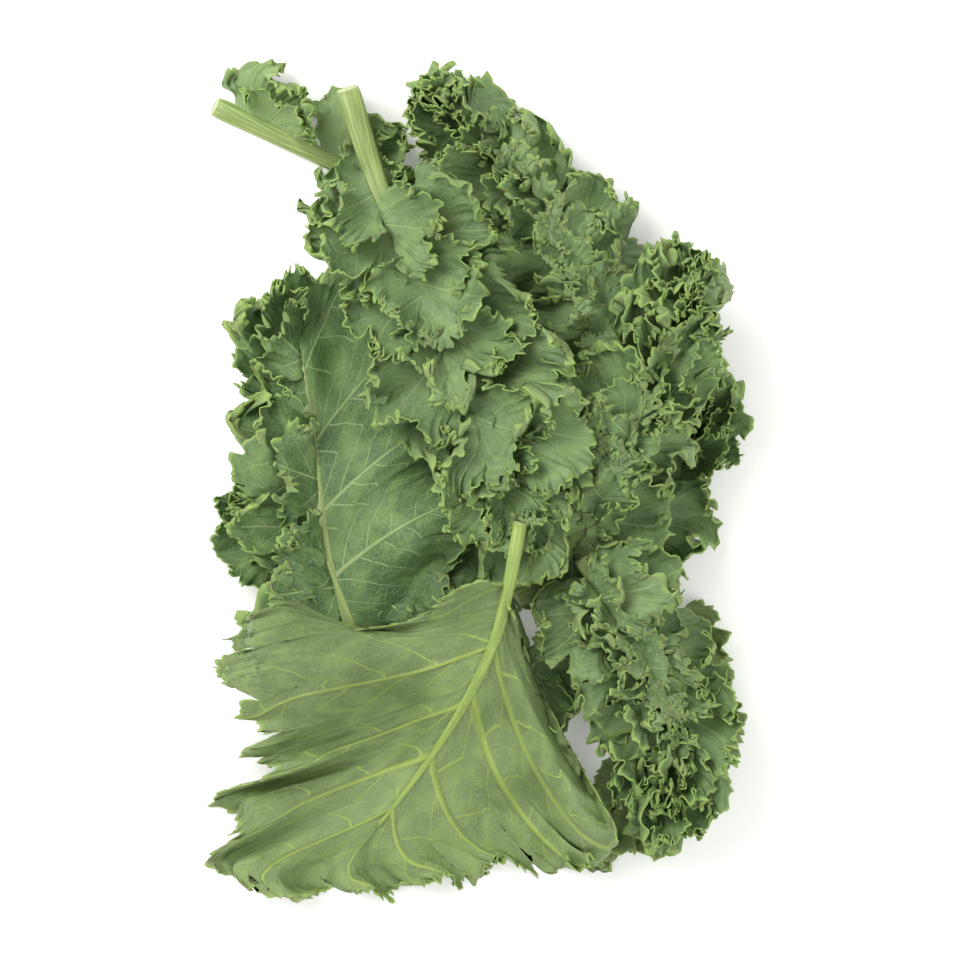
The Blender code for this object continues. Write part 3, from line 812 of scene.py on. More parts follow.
def looked_up(grid, plan):
    """The grid's value at plan points, between its cells' centres."""
    place = (plan + HALF_FIELD) / CELL - 0.5
    low = np.floor(place).astype(int)
    u, v = (place - low)[..., 0], (place - low)[..., 1]
    i, j = low[..., 0], low[..., 1]
    return ((1 - u) * (1 - v) * grid[i, j] + u * (1 - v) * grid[i + 1, j]
            + (1 - u) * v * grid[i, j + 1] + u * v * grid[i + 1, j + 1])


def raised(rise, lobes, circles, centres):
    """The lobes and the rib's rings, moved up by the rise at each place."""
    up = [lobe + np.dstack([np.zeros(lobe.shape[:2] + (2,)), looked_up(rise, lobe[..., :2])])
          for lobe in lobes]
    lifted = circles.copy()
    lifted[..., 2] += looked_up(rise, centres)[:, None]
    return up, lifted


@dataclass
class LaidLeaf:
    """A leaf in the heap: how far it rises, and the heights that its curls stay between."""

    leaf: Leaf
    rib: Rib
    rise: np.ndarray
    bottom: np.ndarray
    top: np.ndarray
    points: np.ndarray
    lowest: np.ndarray = None
    highest: np.ndarray = None


def lay(heap, leaf):
    """Lays a leaf on the heap."""
    rib = Rib(leaf)
    lobes = []
    for lobe in lobes_of(leaf):
        rows = LONG_LOBE_ROWS if lobe.length > LONG_LOBE else LOBE_ROWS
        lobes.append(lobe_surface(leaf, rib, lobe, rows, ruffle_turns(leaf, lobe)))
    circles, centres = rib_rings(rib, RIB_RINGS)

    def triangles_of(some_lobes, rings):
        return np.concatenate([grid_triangles(lobe) for lobe in some_lobes]
                              + [grid_triangles(rings, closed=True)])

    def needed(some_lobes, rings):
        return heap.needed(triangles_of(some_lobes, rings + (0, 0, RIB_SINK)))

    rise = heap.rise_under(leaf, rib, needed(lobes, circles))
    for _ in range(LAY_PASSES):
        placed = raised(rise, lobes, circles, centres)
        short = needed(*placed)
        if short.max() < LEAST_RAISE:
            break
        rise = rise + smooth_above(np.where(np.isfinite(short), np.maximum(short, 0), short),
                                   TOUCH_UP_RADIUS)
    placed = raised(rise, lobes, circles, centres)
    triangles = triangles_of(*placed)
    top = heap.seen(triangles, np.maximum, -math.inf)
    bottom = heap.seen(triangles, np.minimum, math.inf)
    heap.top = np.maximum(heap.top, top)
    return LaidLeaf(leaf, rib, rise, bottom, top, triangles.reshape(-1, 3))


def known_or(grid, other):
    """The grid, with the other value where nothing is known."""
    return np.where(np.isfinite(grid), grid, other)


def share_out_heights(laid):
    """Gives each leaf's curls the space up to half way to its neighbours above and below."""
    for index, place in enumerate(laid):
        top = spread(place.top, FREE_RISE, np.maximum)
        bottom = spread(place.bottom, FREE_RISE, np.minimum)
        above = np.minimum.reduce([other.bottom for other in laid[index + 1:]]
                                  + [np.full_like(top, math.inf)])
        below = np.maximum.reduce([other.top for other in laid[:index]]
                                  + [np.full_like(top, -math.inf)])
        above = spread(above, SLEEVE_SPREAD, np.minimum)
        below = spread(below, SLEEVE_SPREAD, np.maximum)
        own_top, own_bottom = known_or(top, 0), known_or(bottom, 0)
        half_up = np.maximum((own_top + above) / 2, own_top - MOST_PRESSED)
        half_down = np.minimum((own_bottom + below) / 2, own_bottom + MOST_PRESSED)
        place.highest = np.where(np.isfinite(above), half_up, own_top + FREE_RISE)
        place.lowest = np.where(np.isfinite(below), half_down, own_bottom - FREE_RISE)


@cache
def laid_leaves():
    """Every leaf in its place in the heap, by name, the shift that centres it, and the heap's top."""
    heap = Heap()
    laid = {leaf.name: lay(heap, leaf) for leaf in LEAVES}
    share_out_heights(list(laid.values()))
    points = np.concatenate([place.points for place in laid.values()])
    middle = (points.min(axis=0) + points.max(axis=0)) / 2
    return laid, np.array([-middle[0], -middle[1], -FLOOR_GAP]), heap.top


def eased(height, lowest, highest):
    """Heights kept between two limits, with a soft give past them."""
    over, under = np.maximum(height - highest, 0), np.maximum(lowest - height, 0)
    height = np.where(over > 0, highest + SLEEVE_GIVE * (1 - np.exp(-over / SLEEVE_GIVE)), height)
    return np.where(under > 0, lowest - SLEEVE_GIVE * (1 - np.exp(-under / SLEEVE_GIVE)), height)


def on_heap(laid, surface, thickness):
    """A surface raised onto the heap, with its curls kept to the leaf's own layer."""
    plan = surface[..., :2]
    height = surface[..., 2] + looked_up(laid.rise, plan)
    height = eased(height, looked_up(laid.lowest, plan), looked_up(laid.highest, plan))
    return np.dstack([plan, np.maximum(height, FLOOR_GAP + thickness)])


def seen_share(placed):
    """How much of a surface lies at the top of the heap."""
    top = looked_up(np.maximum(laid_leaves()[2], 0), placed[..., :2])
    return (placed[..., 2] > top - SEEN_DEPTH).mean()


def deselect_all():
    for thing in bpy.context.selected_objects:
        thing.select_set(False)


def joined(parts, name):
    """The parts as one object."""
    deselect_all()
    for part in parts:
        part.select_set(True)
    bpy.context.view_layer.objects.active = parts[0]
    if len(parts) > 1:
        bpy.ops.object.join()
    parts[0].name = name
    parts[0].data.name = name
    return parts[0]


def note_places(mesh, places):
    """Keeps, for each point, its place across and along its lobe and its distance to the margin."""
    attribute = mesh.attributes.new("leaf_place", "FLOAT_VECTOR", "POINT")
    attribute.data.foreach_set("vector", np.ascontiguousarray(places, np.float32).ravel())


def thin_out(grid, columns, rows, half_rows, quarter_rows):
    """Dissolves columns of a grid away from its margin, to a half and then to a quarter."""
    bpy.ops.object.mode_set(mode="EDIT")
    for last_row, step, kept_out in ((half_rows, 2, 1), (quarter_rows, COLUMN_STEP, 2)):
        bpy.ops.mesh.select_all(action="DESELECT")
        shape = bmesh.from_edit_mesh(grid.data)
        for edge in shape.edges:
            low, high = sorted(round((vert.co.y + 1) / 2 * rows) for vert in edge.verts)
            left, right = (round((vert.co.x + 1) / 2 * columns) for vert in edge.verts)
            chosen = left == right and left % step == kept_out and low < high <= last_row
            edge.select_set(bool(chosen))
        bmesh.update_edit_mesh(grid.data)
        bpy.ops.mesh.dissolve_edges(use_verts=True)
    bpy.ops.object.mode_set(mode="OBJECT")


def blade_mesh(surface, places, steps, length):
    """A blade's surface in the heap, made from a grid that is finest near the margin."""
    rows, columns = surface.shape[0] - 1, surface.shape[1] - 1
    surface = (surface + laid_leaves()[1]) * METRES_PER_MM
    deselect_all()
    bpy.ops.mesh.primitive_grid_add(x_subdivisions=columns, y_subdivisions=rows, size=2)
    grid = bpy.context.active_object
    to_margin = (1 - steps) * length
    thin_out(grid, columns, rows, (to_margin > FINE_DEPTH).sum() - 1,
             (to_margin > 2 * FINE_DEPTH).sum() - 1)
    flat = np.empty(3 * len(grid.data.vertices))
    grid.data.vertices.foreach_get("co", flat)
    flat = flat.reshape(-1, 3)
    column = ((flat[:, 0] + 1) / 2 * columns).round().astype(int)
    row = ((flat[:, 1] + 1) / 2 * rows).round().astype(int)
    grid.data.vertices.foreach_set("co", surface[row, column].ravel())
    own_places = places[row, column]
    note_places(grid.data, own_places)
    veins = grid.vertex_groups.new(name="veins")
    at_margin, widening = VEIN_HALF_BREADTH
    breadth = at_margin + widening * own_places[:, 2]
    weight = np.exp(-((own_places[:, 0] / breadth) ** 2))
    for vertex in np.flatnonzero(weight > LEAST_VEIN_WEIGHT):
        veins.add([int(vertex)], float(weight[vertex]), "REPLACE")
    return grid


def softened(share):
    """A share brought half way to 1."""
    return 0.5 + 0.5 * share


def lobe_blade(laid, lobe, tier, index, habit, settings):
    """One lobe's curled blade. Lobes that others hide are coarser, or aren't made."""
    leaf = laid.leaf
    thickness = settings.thickness / METRES_PER_MM
    rough = lobe_surface(leaf, laid.rib, lobe, ROUGH_ROWS, np.linspace(0, 1, ROUGH_COLUMNS))
    shown = seen_share(on_heap(laid, rough, thickness))
    if tier and shown < LEAST_SHOWN:
        return None
    detail = habit.detail * softened(min(1, shown / FULLY_SHOWN)) * TIER_DETAIL[tier]
    breadth = softened(leaf.lobe_half_width / USUAL_HALF_WIDTH)
    columns = COLUMN_STEP * round(settings.columns * detail * breadth / COLUMN_STEP)
    rows = settings.rows + max(0, lobe.length - LONG_LOBE) * settings.rows_per_mm
    rows = round(rows * softened(detail))
    steps = 1 - (1 - np.linspace(0, 1, rows + 1)) ** settings.margin_crowding
    draw = np.random.default_rng(CURL_SEED * leaf.seed + index)
    surface, arcs = curly_surface(laid, lobe, tier, habit, draw, steps, columns)
    from_margin = np.broadcast_to((1 - steps)[:, None] * lobe.length, arcs.shape)
    along = np.broadcast_to(steps[:, None] * lobe.length, arcs.shape)
    places = np.dstack([arcs, along + PLACE_STEP * index, from_margin])
    if lobe.side != 1:
        surface, places = surface[:, ::-1], places[:, ::-1]
    return blade_mesh(on_heap(laid, surface, thickness), places, steps, lobe.length)


def whole_blade(laid, habit, settings):
    """The blade of a leaf that is described ray by ray, in one piece."""
    steps = 1 - (1 - np.linspace(0, 1, settings.whole_rows + 1)) ** settings.margin_crowding
    draw = np.random.default_rng(CURL_SEED * laid.leaf.seed)
    surface, arcs, regions, length = whole_surface(laid, habit, draw, steps, settings.whole_columns)
    along = steps[:, None] * length
    places = np.dstack([arcs, along + PLACE_STEP * regions, length - along])
    placed = on_heap(laid, surface, settings.thickness / METRES_PER_MM)
    return blade_mesh(placed[:, ::-1], places[:, ::-1], steps, length.mean())


def blades_of(laid, habit, settings):
    """A leaf's blades: one for each lobe, or a whole one and the lobes over its left side."""
    lobed = habit.left_lobes if habit.rays else habit
    blades = [whole_blade(laid, habit, settings)] if habit.rays else []
    for index, (lobe, tier) in enumerate(tiers_of(laid.leaf, lobed) if lobed else ()):
        if not habit.rays or (tier and lobe.side == 1):
            blades.append(lobe_blade(laid, lobe, tier, index, lobed, settings))
    return [blade for blade in blades if blade]


def thicken(blade, leaf, settings):
    """Gives the blade its thickness, with the veins standing out on the underside."""
    solidify = blade.modifiers.new("thickness", "SOLIDIFY")
    solidify.thickness = settings.vein_thickness
    solidify.vertex_group = "veins"
    solidify.thickness_vertex_group = settings.thickness / settings.vein_thickness
    solidify.offset = 1 if leaf.underside_up else -1
    solidify.material_offset = 1
    solidify.use_even_offset = False
    deselect_all()
    blade.select_set(True)
    bpy.context.view_layer.objects.active = blade
    bpy.ops.object.modifier_apply(modifier=solidify.name)


def stalk_and_rib(laid, material_index, cut_index):
    """The cut stalk that runs on as the rib, round below and with a groove on its upper side."""
    leaf, rib = laid.leaf, laid.rib
    deselect_all()
    bpy.ops.mesh.primitive_cylinder_add(vertices=FINE_RIB_SIDES, radius=1, depth=2)
    stalk = bpy.context.active_object
    bpy.ops.object.mode_set(mode="EDIT")
    bpy.ops.mesh.select_all(action="DESELECT")
    shape = bmesh.from_edit_mesh(stalk.data)
    for edge in shape.edges:
        low, high = sorted(vert.co.z for vert in edge.verts)
        edge.select_set(high - low > 1)
    bmesh.update_edit_mesh(stalk.data)
    bpy.ops.mesh.subdivide(number_cuts=FINE_RIB_RINGS)
    bpy.ops.object.mode_set(mode="OBJECT")
    flat = np.array([vert.co for vert in stalk.data.vertices])
    share = (flat[:, 2] + 1) / 2
    turn = np.arctan2(flat[:, 0], -flat[:, 1])
    centre, heading, radius = rib.at(share)
    radius = radius * HABITS[leaf.name].rib_share
    upper = -1 if leaf.underside_up else 1
    ridge = 1 - GROOVE_DEPTH * np.exp(-(((np.cos(turn) * -upper) - 1) / GROOVE_BREADTH) ** 2)
    rounded = 1 - END_ROUNDING * np.exp(-share * rib.length / END_ROUNDING_REACH)
    sideways = radius * rounded * np.sin(turn)
    height = -radius * rounded * ridge * RIB_FLATTENING * np.cos(turn)
    slant = CUT_SLANT * height * np.exp(-share * rib.length / CUT_SLANT_REACH)
    places = np.column_stack([
        centre[:, 0] - np.sin(heading) * sideways + np.cos(heading) * slant,
        centre[:, 1] + np.cos(heading) * sideways + np.sin(heading) * slant,
        height + looked_up(laid.rise, centre),
    ])
    places[:, 2] = np.maximum(places[:, 2], FLOOR_GAP)
    stalk.data.vertices.foreach_set("co", ((places + laid_leaves()[1]) * METRES_PER_MM).ravel())
    from_margin = np.full_like(share, FAR_FROM_MARGIN)
    note_places(stalk.data, np.column_stack([turn * radius, share * rib.length, from_margin]))
    for face in stalk.data.polygons:
        face.material_index = material_index
        if len(face.vertices) > 4:
            face.material_index = cut_index
    return stalk


def dress_leaf(name, context):
    """Makes one leaf in full, in place of the solid of the same name."""
    laid, habit = laid_leaves()[0][name], HABITS[name]
    settings = context.scene.kale_blades
    blade = joined(blades_of(laid, habit, settings), name + "_blade")
    upper, underside = blade_materials(habit.tone)
    sides = (underside, upper) if laid.leaf.underside_up else (upper, underside)
    for material in (*sides, stalk_material(habit.tone), cut_material()):
        blade.data.materials.append(material)
    thicken(blade, laid.leaf, settings)
    stalk = stalk_and_rib(laid, 2, 3)
    for material in blade.data.materials:
        stalk.data.materials.append(material)
    leaf = joined([blade, stalk], name + "_dressed")
    leaf.data.shade_smooth()
    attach(leaf, "root")
    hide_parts(name)


def new_group(name, inputs, outputs):
    """An empty node group with named sockets, each given as (name, socket type)."""
    group = bpy.data.node_groups.new(name, "ShaderNodeTree")
    for socket_name, kind in inputs:
        group.interface.new_socket(name=socket_name, in_out="INPUT", socket_type=kind)
    for socket_name, kind in outputs:
        group.interface.new_socket(name=socket_name, in_out="OUTPUT", socket_type=kind)
    return group, group.nodes.new("NodeGroupInput"), group.nodes.new("NodeGroupOutput")


class Wiring:
    """Short ways to add and join nodes in one tree."""

    def __init__(self, tree):
        self.tree = tree

    def feed(self, socket, value):
        """Links another node's socket to this one, or sets a plain value."""
        if isinstance(value, bpy.types.NodeSocket):
            self.tree.links.new(value, socket)
        else:
            socket.default_value = value

    def math(self, operation, first, second=0.0):
        node = self.tree.nodes.new("ShaderNodeMath")
        node.operation = operation
        self.feed(node.inputs[0], first)
        self.feed(node.inputs[1], second)
        return node.outputs[0]

    def fade(self, value, start, end, at_start=1.0, at_end=0.0):
        """A smooth change from at_start to at_end as the value goes from start to end."""
        node = self.tree.nodes.new("ShaderNodeMapRange")
        node.interpolation_type = "SMOOTHSTEP"
        for socket, setting in zip(node.inputs, (value, start, end, at_start, at_end)):
            self.feed(socket, setting)
        return node.outputs[0]

    def noise(self, vector, scale, detail):
        node = self.tree.nodes.new("ShaderNodeTexNoise")
        self.feed(node.inputs["Vector"], vector)
        node.inputs["Scale"].default_value = scale
        node.inputs["Detail"].default_value = detail
        return node.outputs["Fac"]

    def mix(self, share, first, second):
        node = self.tree.nodes.new("ShaderNodeMix")
        node.data_type = "RGBA"
        self.feed(node.inputs[0], share)
        self.feed(node.inputs[6], first)
        self.feed(node.inputs[7], second)
        return node.outputs[2]


@cache
def vein_group():
    """Where the veins, the net between them and the pale margin are, from a point's leaf place. The
    pale margin is partly a painted highlight.
    """
    group, source, result = new_group(
        "leaf veins",
        [("Leaf Place", "NodeSocketVector"), ("Branch Spacing", "NodeSocketFloat"),
         ("Vein Breadth", "NodeSocketFloat")],
        [("Vein", "NodeSocketFloat"), ("Net", "NodeSocketFloat"), ("Margin", "NodeSocketFloat"),
         ("Mottle", "NodeSocketFloat"), ("Lobe Tone", "NodeSocketFloat")])
    wire = Wiring(group)
    place = source.outputs["Leaf Place"]
    split = group.nodes.new("ShaderNodeSeparateXYZ")
    wire.feed(split.inputs[0], place)
    across, along, from_margin = split.outputs
    spacing = source.outputs["Branch Spacing"]

    def breadth_of(at_margin, widening):
        breadth = wire.math("ADD", at_margin, wire.math("MULTIPLY", from_margin, widening))
        return wire.math("MULTIPLY", source.outputs["Vein Breadth"], breadth)

    wander = wire.math("SUBTRACT", wire.noise(place, WANDER_SCALE, 0.0), 0.5)
    wander = wire.math("MULTIPLY", wander, WANDER)
    beside = wire.math("ABSOLUTE", across)
    main = wire.fade(wire.math("DIVIDE", beside, breadth_of(*MAIN_VEIN)), 0.55, 1.3)
    climb = wire.math("SUBTRACT", along, wire.math("MULTIPLY", beside, BRANCH_LEAN))
    climb = wire.math("ADD", climb, wander)
    alternate = wire.math("MULTIPLY", wire.math("GREATER_THAN", across, 0.0), 0.5)
    turn = wire.math("ADD", wire.math("DIVIDE", climb, spacing), alternate)
    off_branch = wire.math("ABSOLUTE", wire.math("SUBTRACT", wire.math("FRACT", turn), 0.5))
    off_branch = wire.math("MULTIPLY", off_branch, spacing)
    branch = wire.fade(wire.math("DIVIDE", off_branch, breadth_of(*BRANCH_VEIN)), 0.5, 1.5)
    branch = wire.math("MULTIPLY", branch, wire.fade(beside, *BRANCH_FADE))
    wire.feed(result.inputs["Vein"], wire.math("MAXIMUM", main, branch))
    cells = group.nodes.new("ShaderNodeTexVoronoi")
    cells.feature = "DISTANCE_TO_EDGE"
    cells.inputs["Scale"].default_value = NET_SCALE
    wire.feed(cells.inputs["Vector"], place)
    wire.feed(result.inputs["Net"], wire.fade(cells.outputs["Distance"], 0.0, NET_LINE))
    # The pale margin line, partly a painted highlight on the frilled edges
    wire.feed(result.inputs["Margin"], wire.fade(from_margin, *MARGIN_AND_HIGHLIGHT_LINE))
    wire.feed(result.inputs["Mottle"], wire.noise(place, MOTTLE_SCALE, 4.0))
    tone = wire.noise(place, TONE_SCALE, 0.0)
    wire.feed(result.inputs["Lobe Tone"], wire.fade(tone, 0.35, 0.65, 0.0, 1.0))
    return group


def start_material(name):
    """A new material with its wiring and its own Principled shader."""
    material = bpy.data.materials.new(name)
    material.use_nodes = True
    wire = Wiring(material.node_tree)
    return material, wire, material.node_tree.nodes["Principled BSDF"]


def add_bump(wire, shader, height, distance, strength):
    bump = wire.tree.nodes.new("ShaderNodeBump")
    bump.inputs["Strength"].default_value = strength
    bump.inputs["Distance"].default_value = distance
    wire.feed(bump.inputs["Height"], height)
    wire.feed(shader.inputs["Normal"], bump.outputs["Normal"])


def blade_material(name, greens, vein_green, margin_and_highlight_green, spacing_and_breadth, sunken):
    """One side of a blade: two greens in patches, pale veins with a faint net, and a pale margin that
    is partly a painted highlight.
    """
    material, wire, shader = start_material(name)
    place = wire.tree.nodes.new("ShaderNodeAttribute")
    place.attribute_name = "leaf_place"
    veins = wire.tree.nodes.new("ShaderNodeGroup")
    veins.node_tree = vein_group()
    wire.feed(veins.inputs["Leaf Place"], place.outputs["Vector"])
    veins.inputs["Branch Spacing"].default_value = spacing_and_breadth[0]
    veins.inputs["Vein Breadth"].default_value = spacing_and_breadth[1]
    patches = wire.fade(veins.outputs["Mottle"], 0.35, 0.65, 0.0, 1.0)
    patches = wire.math("ADD", wire.math("MULTIPLY", patches, PATCH_SHARE),
                        wire.math("MULTIPLY", veins.outputs["Lobe Tone"], 1 - PATCH_SHARE))
    colour = wire.mix(patches, greens[0], greens[1])
    yellowed = wire.fade(veins.outputs["Mottle"], 0.45, 0.7, 0.0, YELLOW_SHARE)
    colour = wire.mix(yellowed, colour, margin_and_highlight_green)
    # The margin mix paints the pale edge, partly a painted highlight on the frilled margins
    for output, share, green in (("Net", NET_SHARE, vein_green), ("Vein", VEIN_SHARE, vein_green),
                                 ("Margin", MARGIN_AND_HIGHLIGHT_SHARE, margin_and_highlight_green)):
        colour = wire.mix(wire.math("MULTIPLY", veins.outputs[output], share), colour, green)
    wire.feed(shader.inputs["Base Color"], colour)
    rough = wire.fade(veins.outputs["Mottle"], 0.3, 0.7, 0.5, 0.64)
    wire.feed(shader.inputs["Roughness"], rough)
    height = wire.math("MULTIPLY", veins.outputs["Net"], NET_HEIGHT)
    height = wire.math("ADD", height, veins.outputs["Vein"])
    height = wire.math("MULTIPLY", height, -1.0 if sunken else 1.0)
    add_bump(wire, shader, height, 0.0006, 0.55)
    shader.inputs["Subsurface Weight"].default_value = 0.25
    shader.inputs["Subsurface Radius"].default_value = (0.6, 1.0, 0.3)
    shader.inputs["Subsurface Scale"].default_value = 0.0012
    shader.inputs["Specular IOR Level"].default_value = 0.35
    return material


@cache
def blade_materials(tone):
    """The upper side's and the underside's materials for leaves of one tone."""
    colours = bpy.context.scene.kale_colours
    greens = {
        "deep": (colours.deep_shade, colours.deep_green),
        "middle": (colours.middle_shade, colours.middle_green),
        "bright": (colours.middle_green, colours.bright_green),
        "pale": (colours.middle_shade, colours.middle_green),
    }[tone]
    upper = blade_material("kale upper side, " + tone, [(*green, 1) for green in greens],
                           (*colours.vein_green, 1), (*colours.margin_and_highlight_green, 1), UPPER_VEINS, True)
    underside = blade_material("kale underside, " + tone,
                               [(*colours.underside_shade, 1), (*colours.underside_green, 1)],
                               (*colours.underside_vein, 1), (*colours.margin_and_highlight_green, 1),
                               PALE_UNDERSIDE_VEINS if tone == "pale" else UNDERSIDE_VEINS, False)
    return upper, underside


@cache
def stalk_material(tone):
    """Bare stalks and ribs: two greens in streaks along them."""
    colours = bpy.context.scene.kale_colours
    streak_greens = ((colours.rib_shade, colours.rib_green) if tone == "pale"
                     else (colours.stalk_shade, colours.stalk_green))
    material, wire, shader = start_material("kale stalk and rib, " + tone)
    place = wire.tree.nodes.new("ShaderNodeAttribute")
    place.attribute_name = "leaf_place"
    stretched = wire.tree.nodes.new("ShaderNodeMapping")
    wire.feed(stretched.inputs["Vector"], place.outputs["Vector"])
    stretched.inputs["Scale"].default_value = STREAK_STRETCH
    streaks = wire.noise(stretched.outputs["Vector"], STREAK_SCALE, 3.0)
    share = wire.fade(streaks, 0.38, 0.62, 0.0, 1.0)
    colour = wire.mix(share, *((*green, 1) for green in streak_greens))
    wire.feed(shader.inputs["Base Color"], colour)
    wire.feed(shader.inputs["Roughness"], wire.fade(streaks, 0.3, 0.7, 0.38, 0.55))
    add_bump(wire, shader, streaks, 0.0008, 0.4)
    shader.inputs["Subsurface Weight"].default_value = 0.3
    shader.inputs["Subsurface Radius"].default_value = (1.0, 1.0, 0.5)
    shader.inputs["Subsurface Scale"].default_value = 0.002
    return material


@cache
def cut_material():
    """The pale fresh cut across a stalk."""
    colours = bpy.context.scene.kale_colours
    material, wire, shader = start_material("kale cut end")
    place = wire.tree.nodes.new("ShaderNodeTexCoord")
    grain = wire.noise(place.outputs["Object"], CUT_GRAIN, 3.0)
    colour = wire.mix(wire.fade(grain, 0.35, 0.65, 0.0, 1.0), (*colours.stalk_green, 1),
                      (*colours.cut_green, 1))
    wire.feed(shader.inputs["Base Color"], colour)
    shader.inputs["Roughness"].default_value = 0.4
    add_bump(wire, shader, grain, 0.0004, 0.5)
    return material


def colour_property(name, description, default):
    return bpy.props.FloatVectorProperty(name=name, description=description, default=default,
                                         subtype="COLOR", size=3, min=0, max=1)


class KaleBladeSettings(bpy.types.PropertyGroup):
    """Thickness and mesh density of the blades."""

    thickness: bpy.props.FloatProperty(
        name="Blade thickness", description="Thickness of the blade between its veins",
        default=0.0005, unit="LENGTH")
    vein_thickness: bpy.props.FloatProperty(
        name="Vein thickness", description="Thickness of the blade at the middle vein of a lobe",
        default=0.0016, unit="LENGTH")
    columns: bpy.props.IntProperty(
        name="Columns", description="Mesh columns across a lobe", default=176, min=8)
    rows: bpy.props.IntProperty(
        name="Rows", description="Mesh rows along a lobe that isn't long",
        default=13, min=2)
    rows_per_mm: bpy.props.FloatProperty(
        name="Rows for length", description="Further mesh rows for each millimetre of a long lobe",
        default=0.22, min=0)
    whole_columns: bpy.props.IntProperty(
        name="Columns of a whole blade", description="Mesh columns round a leaf in one sheet",
        default=1040, min=8)
    whole_rows: bpy.props.IntProperty(
        name="Rows of a whole blade", description="Mesh rows from the rib to the margin of one",
        default=36, min=2)
    margin_crowding: bpy.props.FloatProperty(
        name="Margin crowding", description="How much closer the rows lie near the margin",
        default=1.5, min=1)


class KaleColourSettings(bpy.types.PropertyGroup):
    """Colours of the leaves and stalks."""

    deep_shade: colour_property(
        "Deep shade", "Darker patches of the deep green leaves", (0.068, 0.132, 0.046))
    deep_green: colour_property(
        "Deep green", "Lighter patches of the deep green leaves", (0.125, 0.212, 0.072))
    middle_shade: colour_property(
        "Middle shade", "Darker patches of the mid green leaves", (0.122, 0.199, 0.078))
    middle_green: colour_property(
        "Middle green", "Lighter patches of the mid green leaves", (0.206, 0.308, 0.126))
    bright_green: colour_property(
        "Bright green", "Lighter patches of the brightest leaf", (0.24, 0.34, 0.13))
    vein_green: colour_property("Veins", "Veins on the upper side", (0.32, 0.42, 0.18))
    # The margin colour: partly the blades' paler edge, partly a painted highlight; it also tints the
    # random yellow patches
    margin_and_highlight_green: colour_property("Margins", "The thin pale edge of the blades", (0.30, 0.43, 0.11))
    underside_shade: colour_property(
        "Underside shade", "Darker patches of the undersides", (0.15, 0.21, 0.085))
    underside_green: colour_property(
        "Underside", "Lighter patches of the undersides", (0.22, 0.295, 0.125))
    underside_vein: colour_property(
        "Underside veins", "Veins on the undersides", (0.34, 0.44, 0.10))
    stalk_shade: colour_property(
        "Stalk shade", "Darker streaks of the stalks and ribs", (0.20, 0.28, 0.075))
    stalk_green: colour_property(
        "Stalk", "Lighter streaks of the stalks and ribs", (0.34, 0.43, 0.14))
    rib_shade: colour_property(
        "Rib shade", "Darker streaks of the broad leaf's rib", (0.22, 0.32, 0.07))
    rib_green: colour_property("Rib", "Lighter streaks of the broad leaf's rib", (0.34, 0.44, 0.11))
    cut_green: colour_property("Cut end", "The fresh cut across a stalk", (0.62, 0.66, 0.40))


class KaleStageSettings(bpy.types.PropertyGroup):
    """The floor, the lights and the camera."""

    floor_size: bpy.props.FloatProperty(
        name="Floor size", description="Side of the square floor", default=6.0, unit="LENGTH")
    floor_colour: colour_property("Floor", "Colour of the plain floor", (0.92, 0.92, 0.90))
    camera_height: bpy.props.FloatProperty(
        name="Camera height", description="Height of the camera over the surface",
        default=1.6, unit="LENGTH")
    view_width: bpy.props.FloatProperty(
        name="View width", description="Width that the picture takes in, half way up the leaves",
        default=0.448, unit="LENGTH")
    key_power: bpy.props.FloatProperty(
        name="Key light", description="Power of the large soft light", default=24.0, unit="POWER")
    floor_glow: bpy.props.FloatProperty(
        name="Floor glow", description="Light that comes up through the floor", default=0.2, min=0)
    sky: bpy.props.FloatProperty(
        name="Surrounding light", description="Strength of the even light all round",
        default=0.72, min=0)


class KALE_OT_under_leaves(bpy.types.Operator):
    """Makes the three leaves that lie lowest"""

    bl_idname = "kale.under_leaves"
    bl_label = "Under leaves"

    def execute(self, context):
        for name in ("leaf_left_under", "leaf_centre_under", "leaf_lower_right_under"):
            dress_leaf(name, context)
        return {"FINISHED"}


class KALE_OT_stalk_leaves(bpy.types.Operator):
    """Makes the two leaves whose bare stalks stick out at the top"""

    bl_idname = "kale.stalk_leaves"
    bl_label = "Leaves with bare stalks"

    def execute(self, context):
        for name in ("leaf_top_outer_stalk", "leaf_top_inner_stalk"):
            dress_leaf(name, context)
        return {"FINISHED"}


class KALE_OT_curly_leaves(bpy.types.Operator):
    """Makes the tightly curled leaves at the top and down the right side"""

    bl_idname = "kale.curly_leaves"
    bl_label = "Curly leaves"

    def execute(self, context):
        for name in ("leaf_top_right", "leaf_right_middle", "leaf_right_upper", "leaf_lower_right"):
            dress_leaf(name, context)
        return {"FINISHED"}


class KALE_OT_broad_leaves(bpy.types.Operator):
    """Makes the two broad leaves at the left"""

    bl_idname = "kale.broad_leaves"
    bl_label = "Broad leaves"

    def execute(self, context):
        for name in ("leaf_middle_left", "leaf_lower_left_broad"):
            dress_leaf(name, context)
        return {"FINISHED"}


def add_light(name, place, size, power):
    """A square soft light that faces the bunch."""
    light = bpy.data.lights.new(name, "AREA")
    light.size = size
    light.energy = power
    lamp = bpy.data.objects.new(name, light)
    bpy.context.scene.collection.objects.link(lamp)
    lamp.location = place
    lamp.rotation_euler = (-Vector(place)).to_track_quat("-Z", "Y").to_euler()


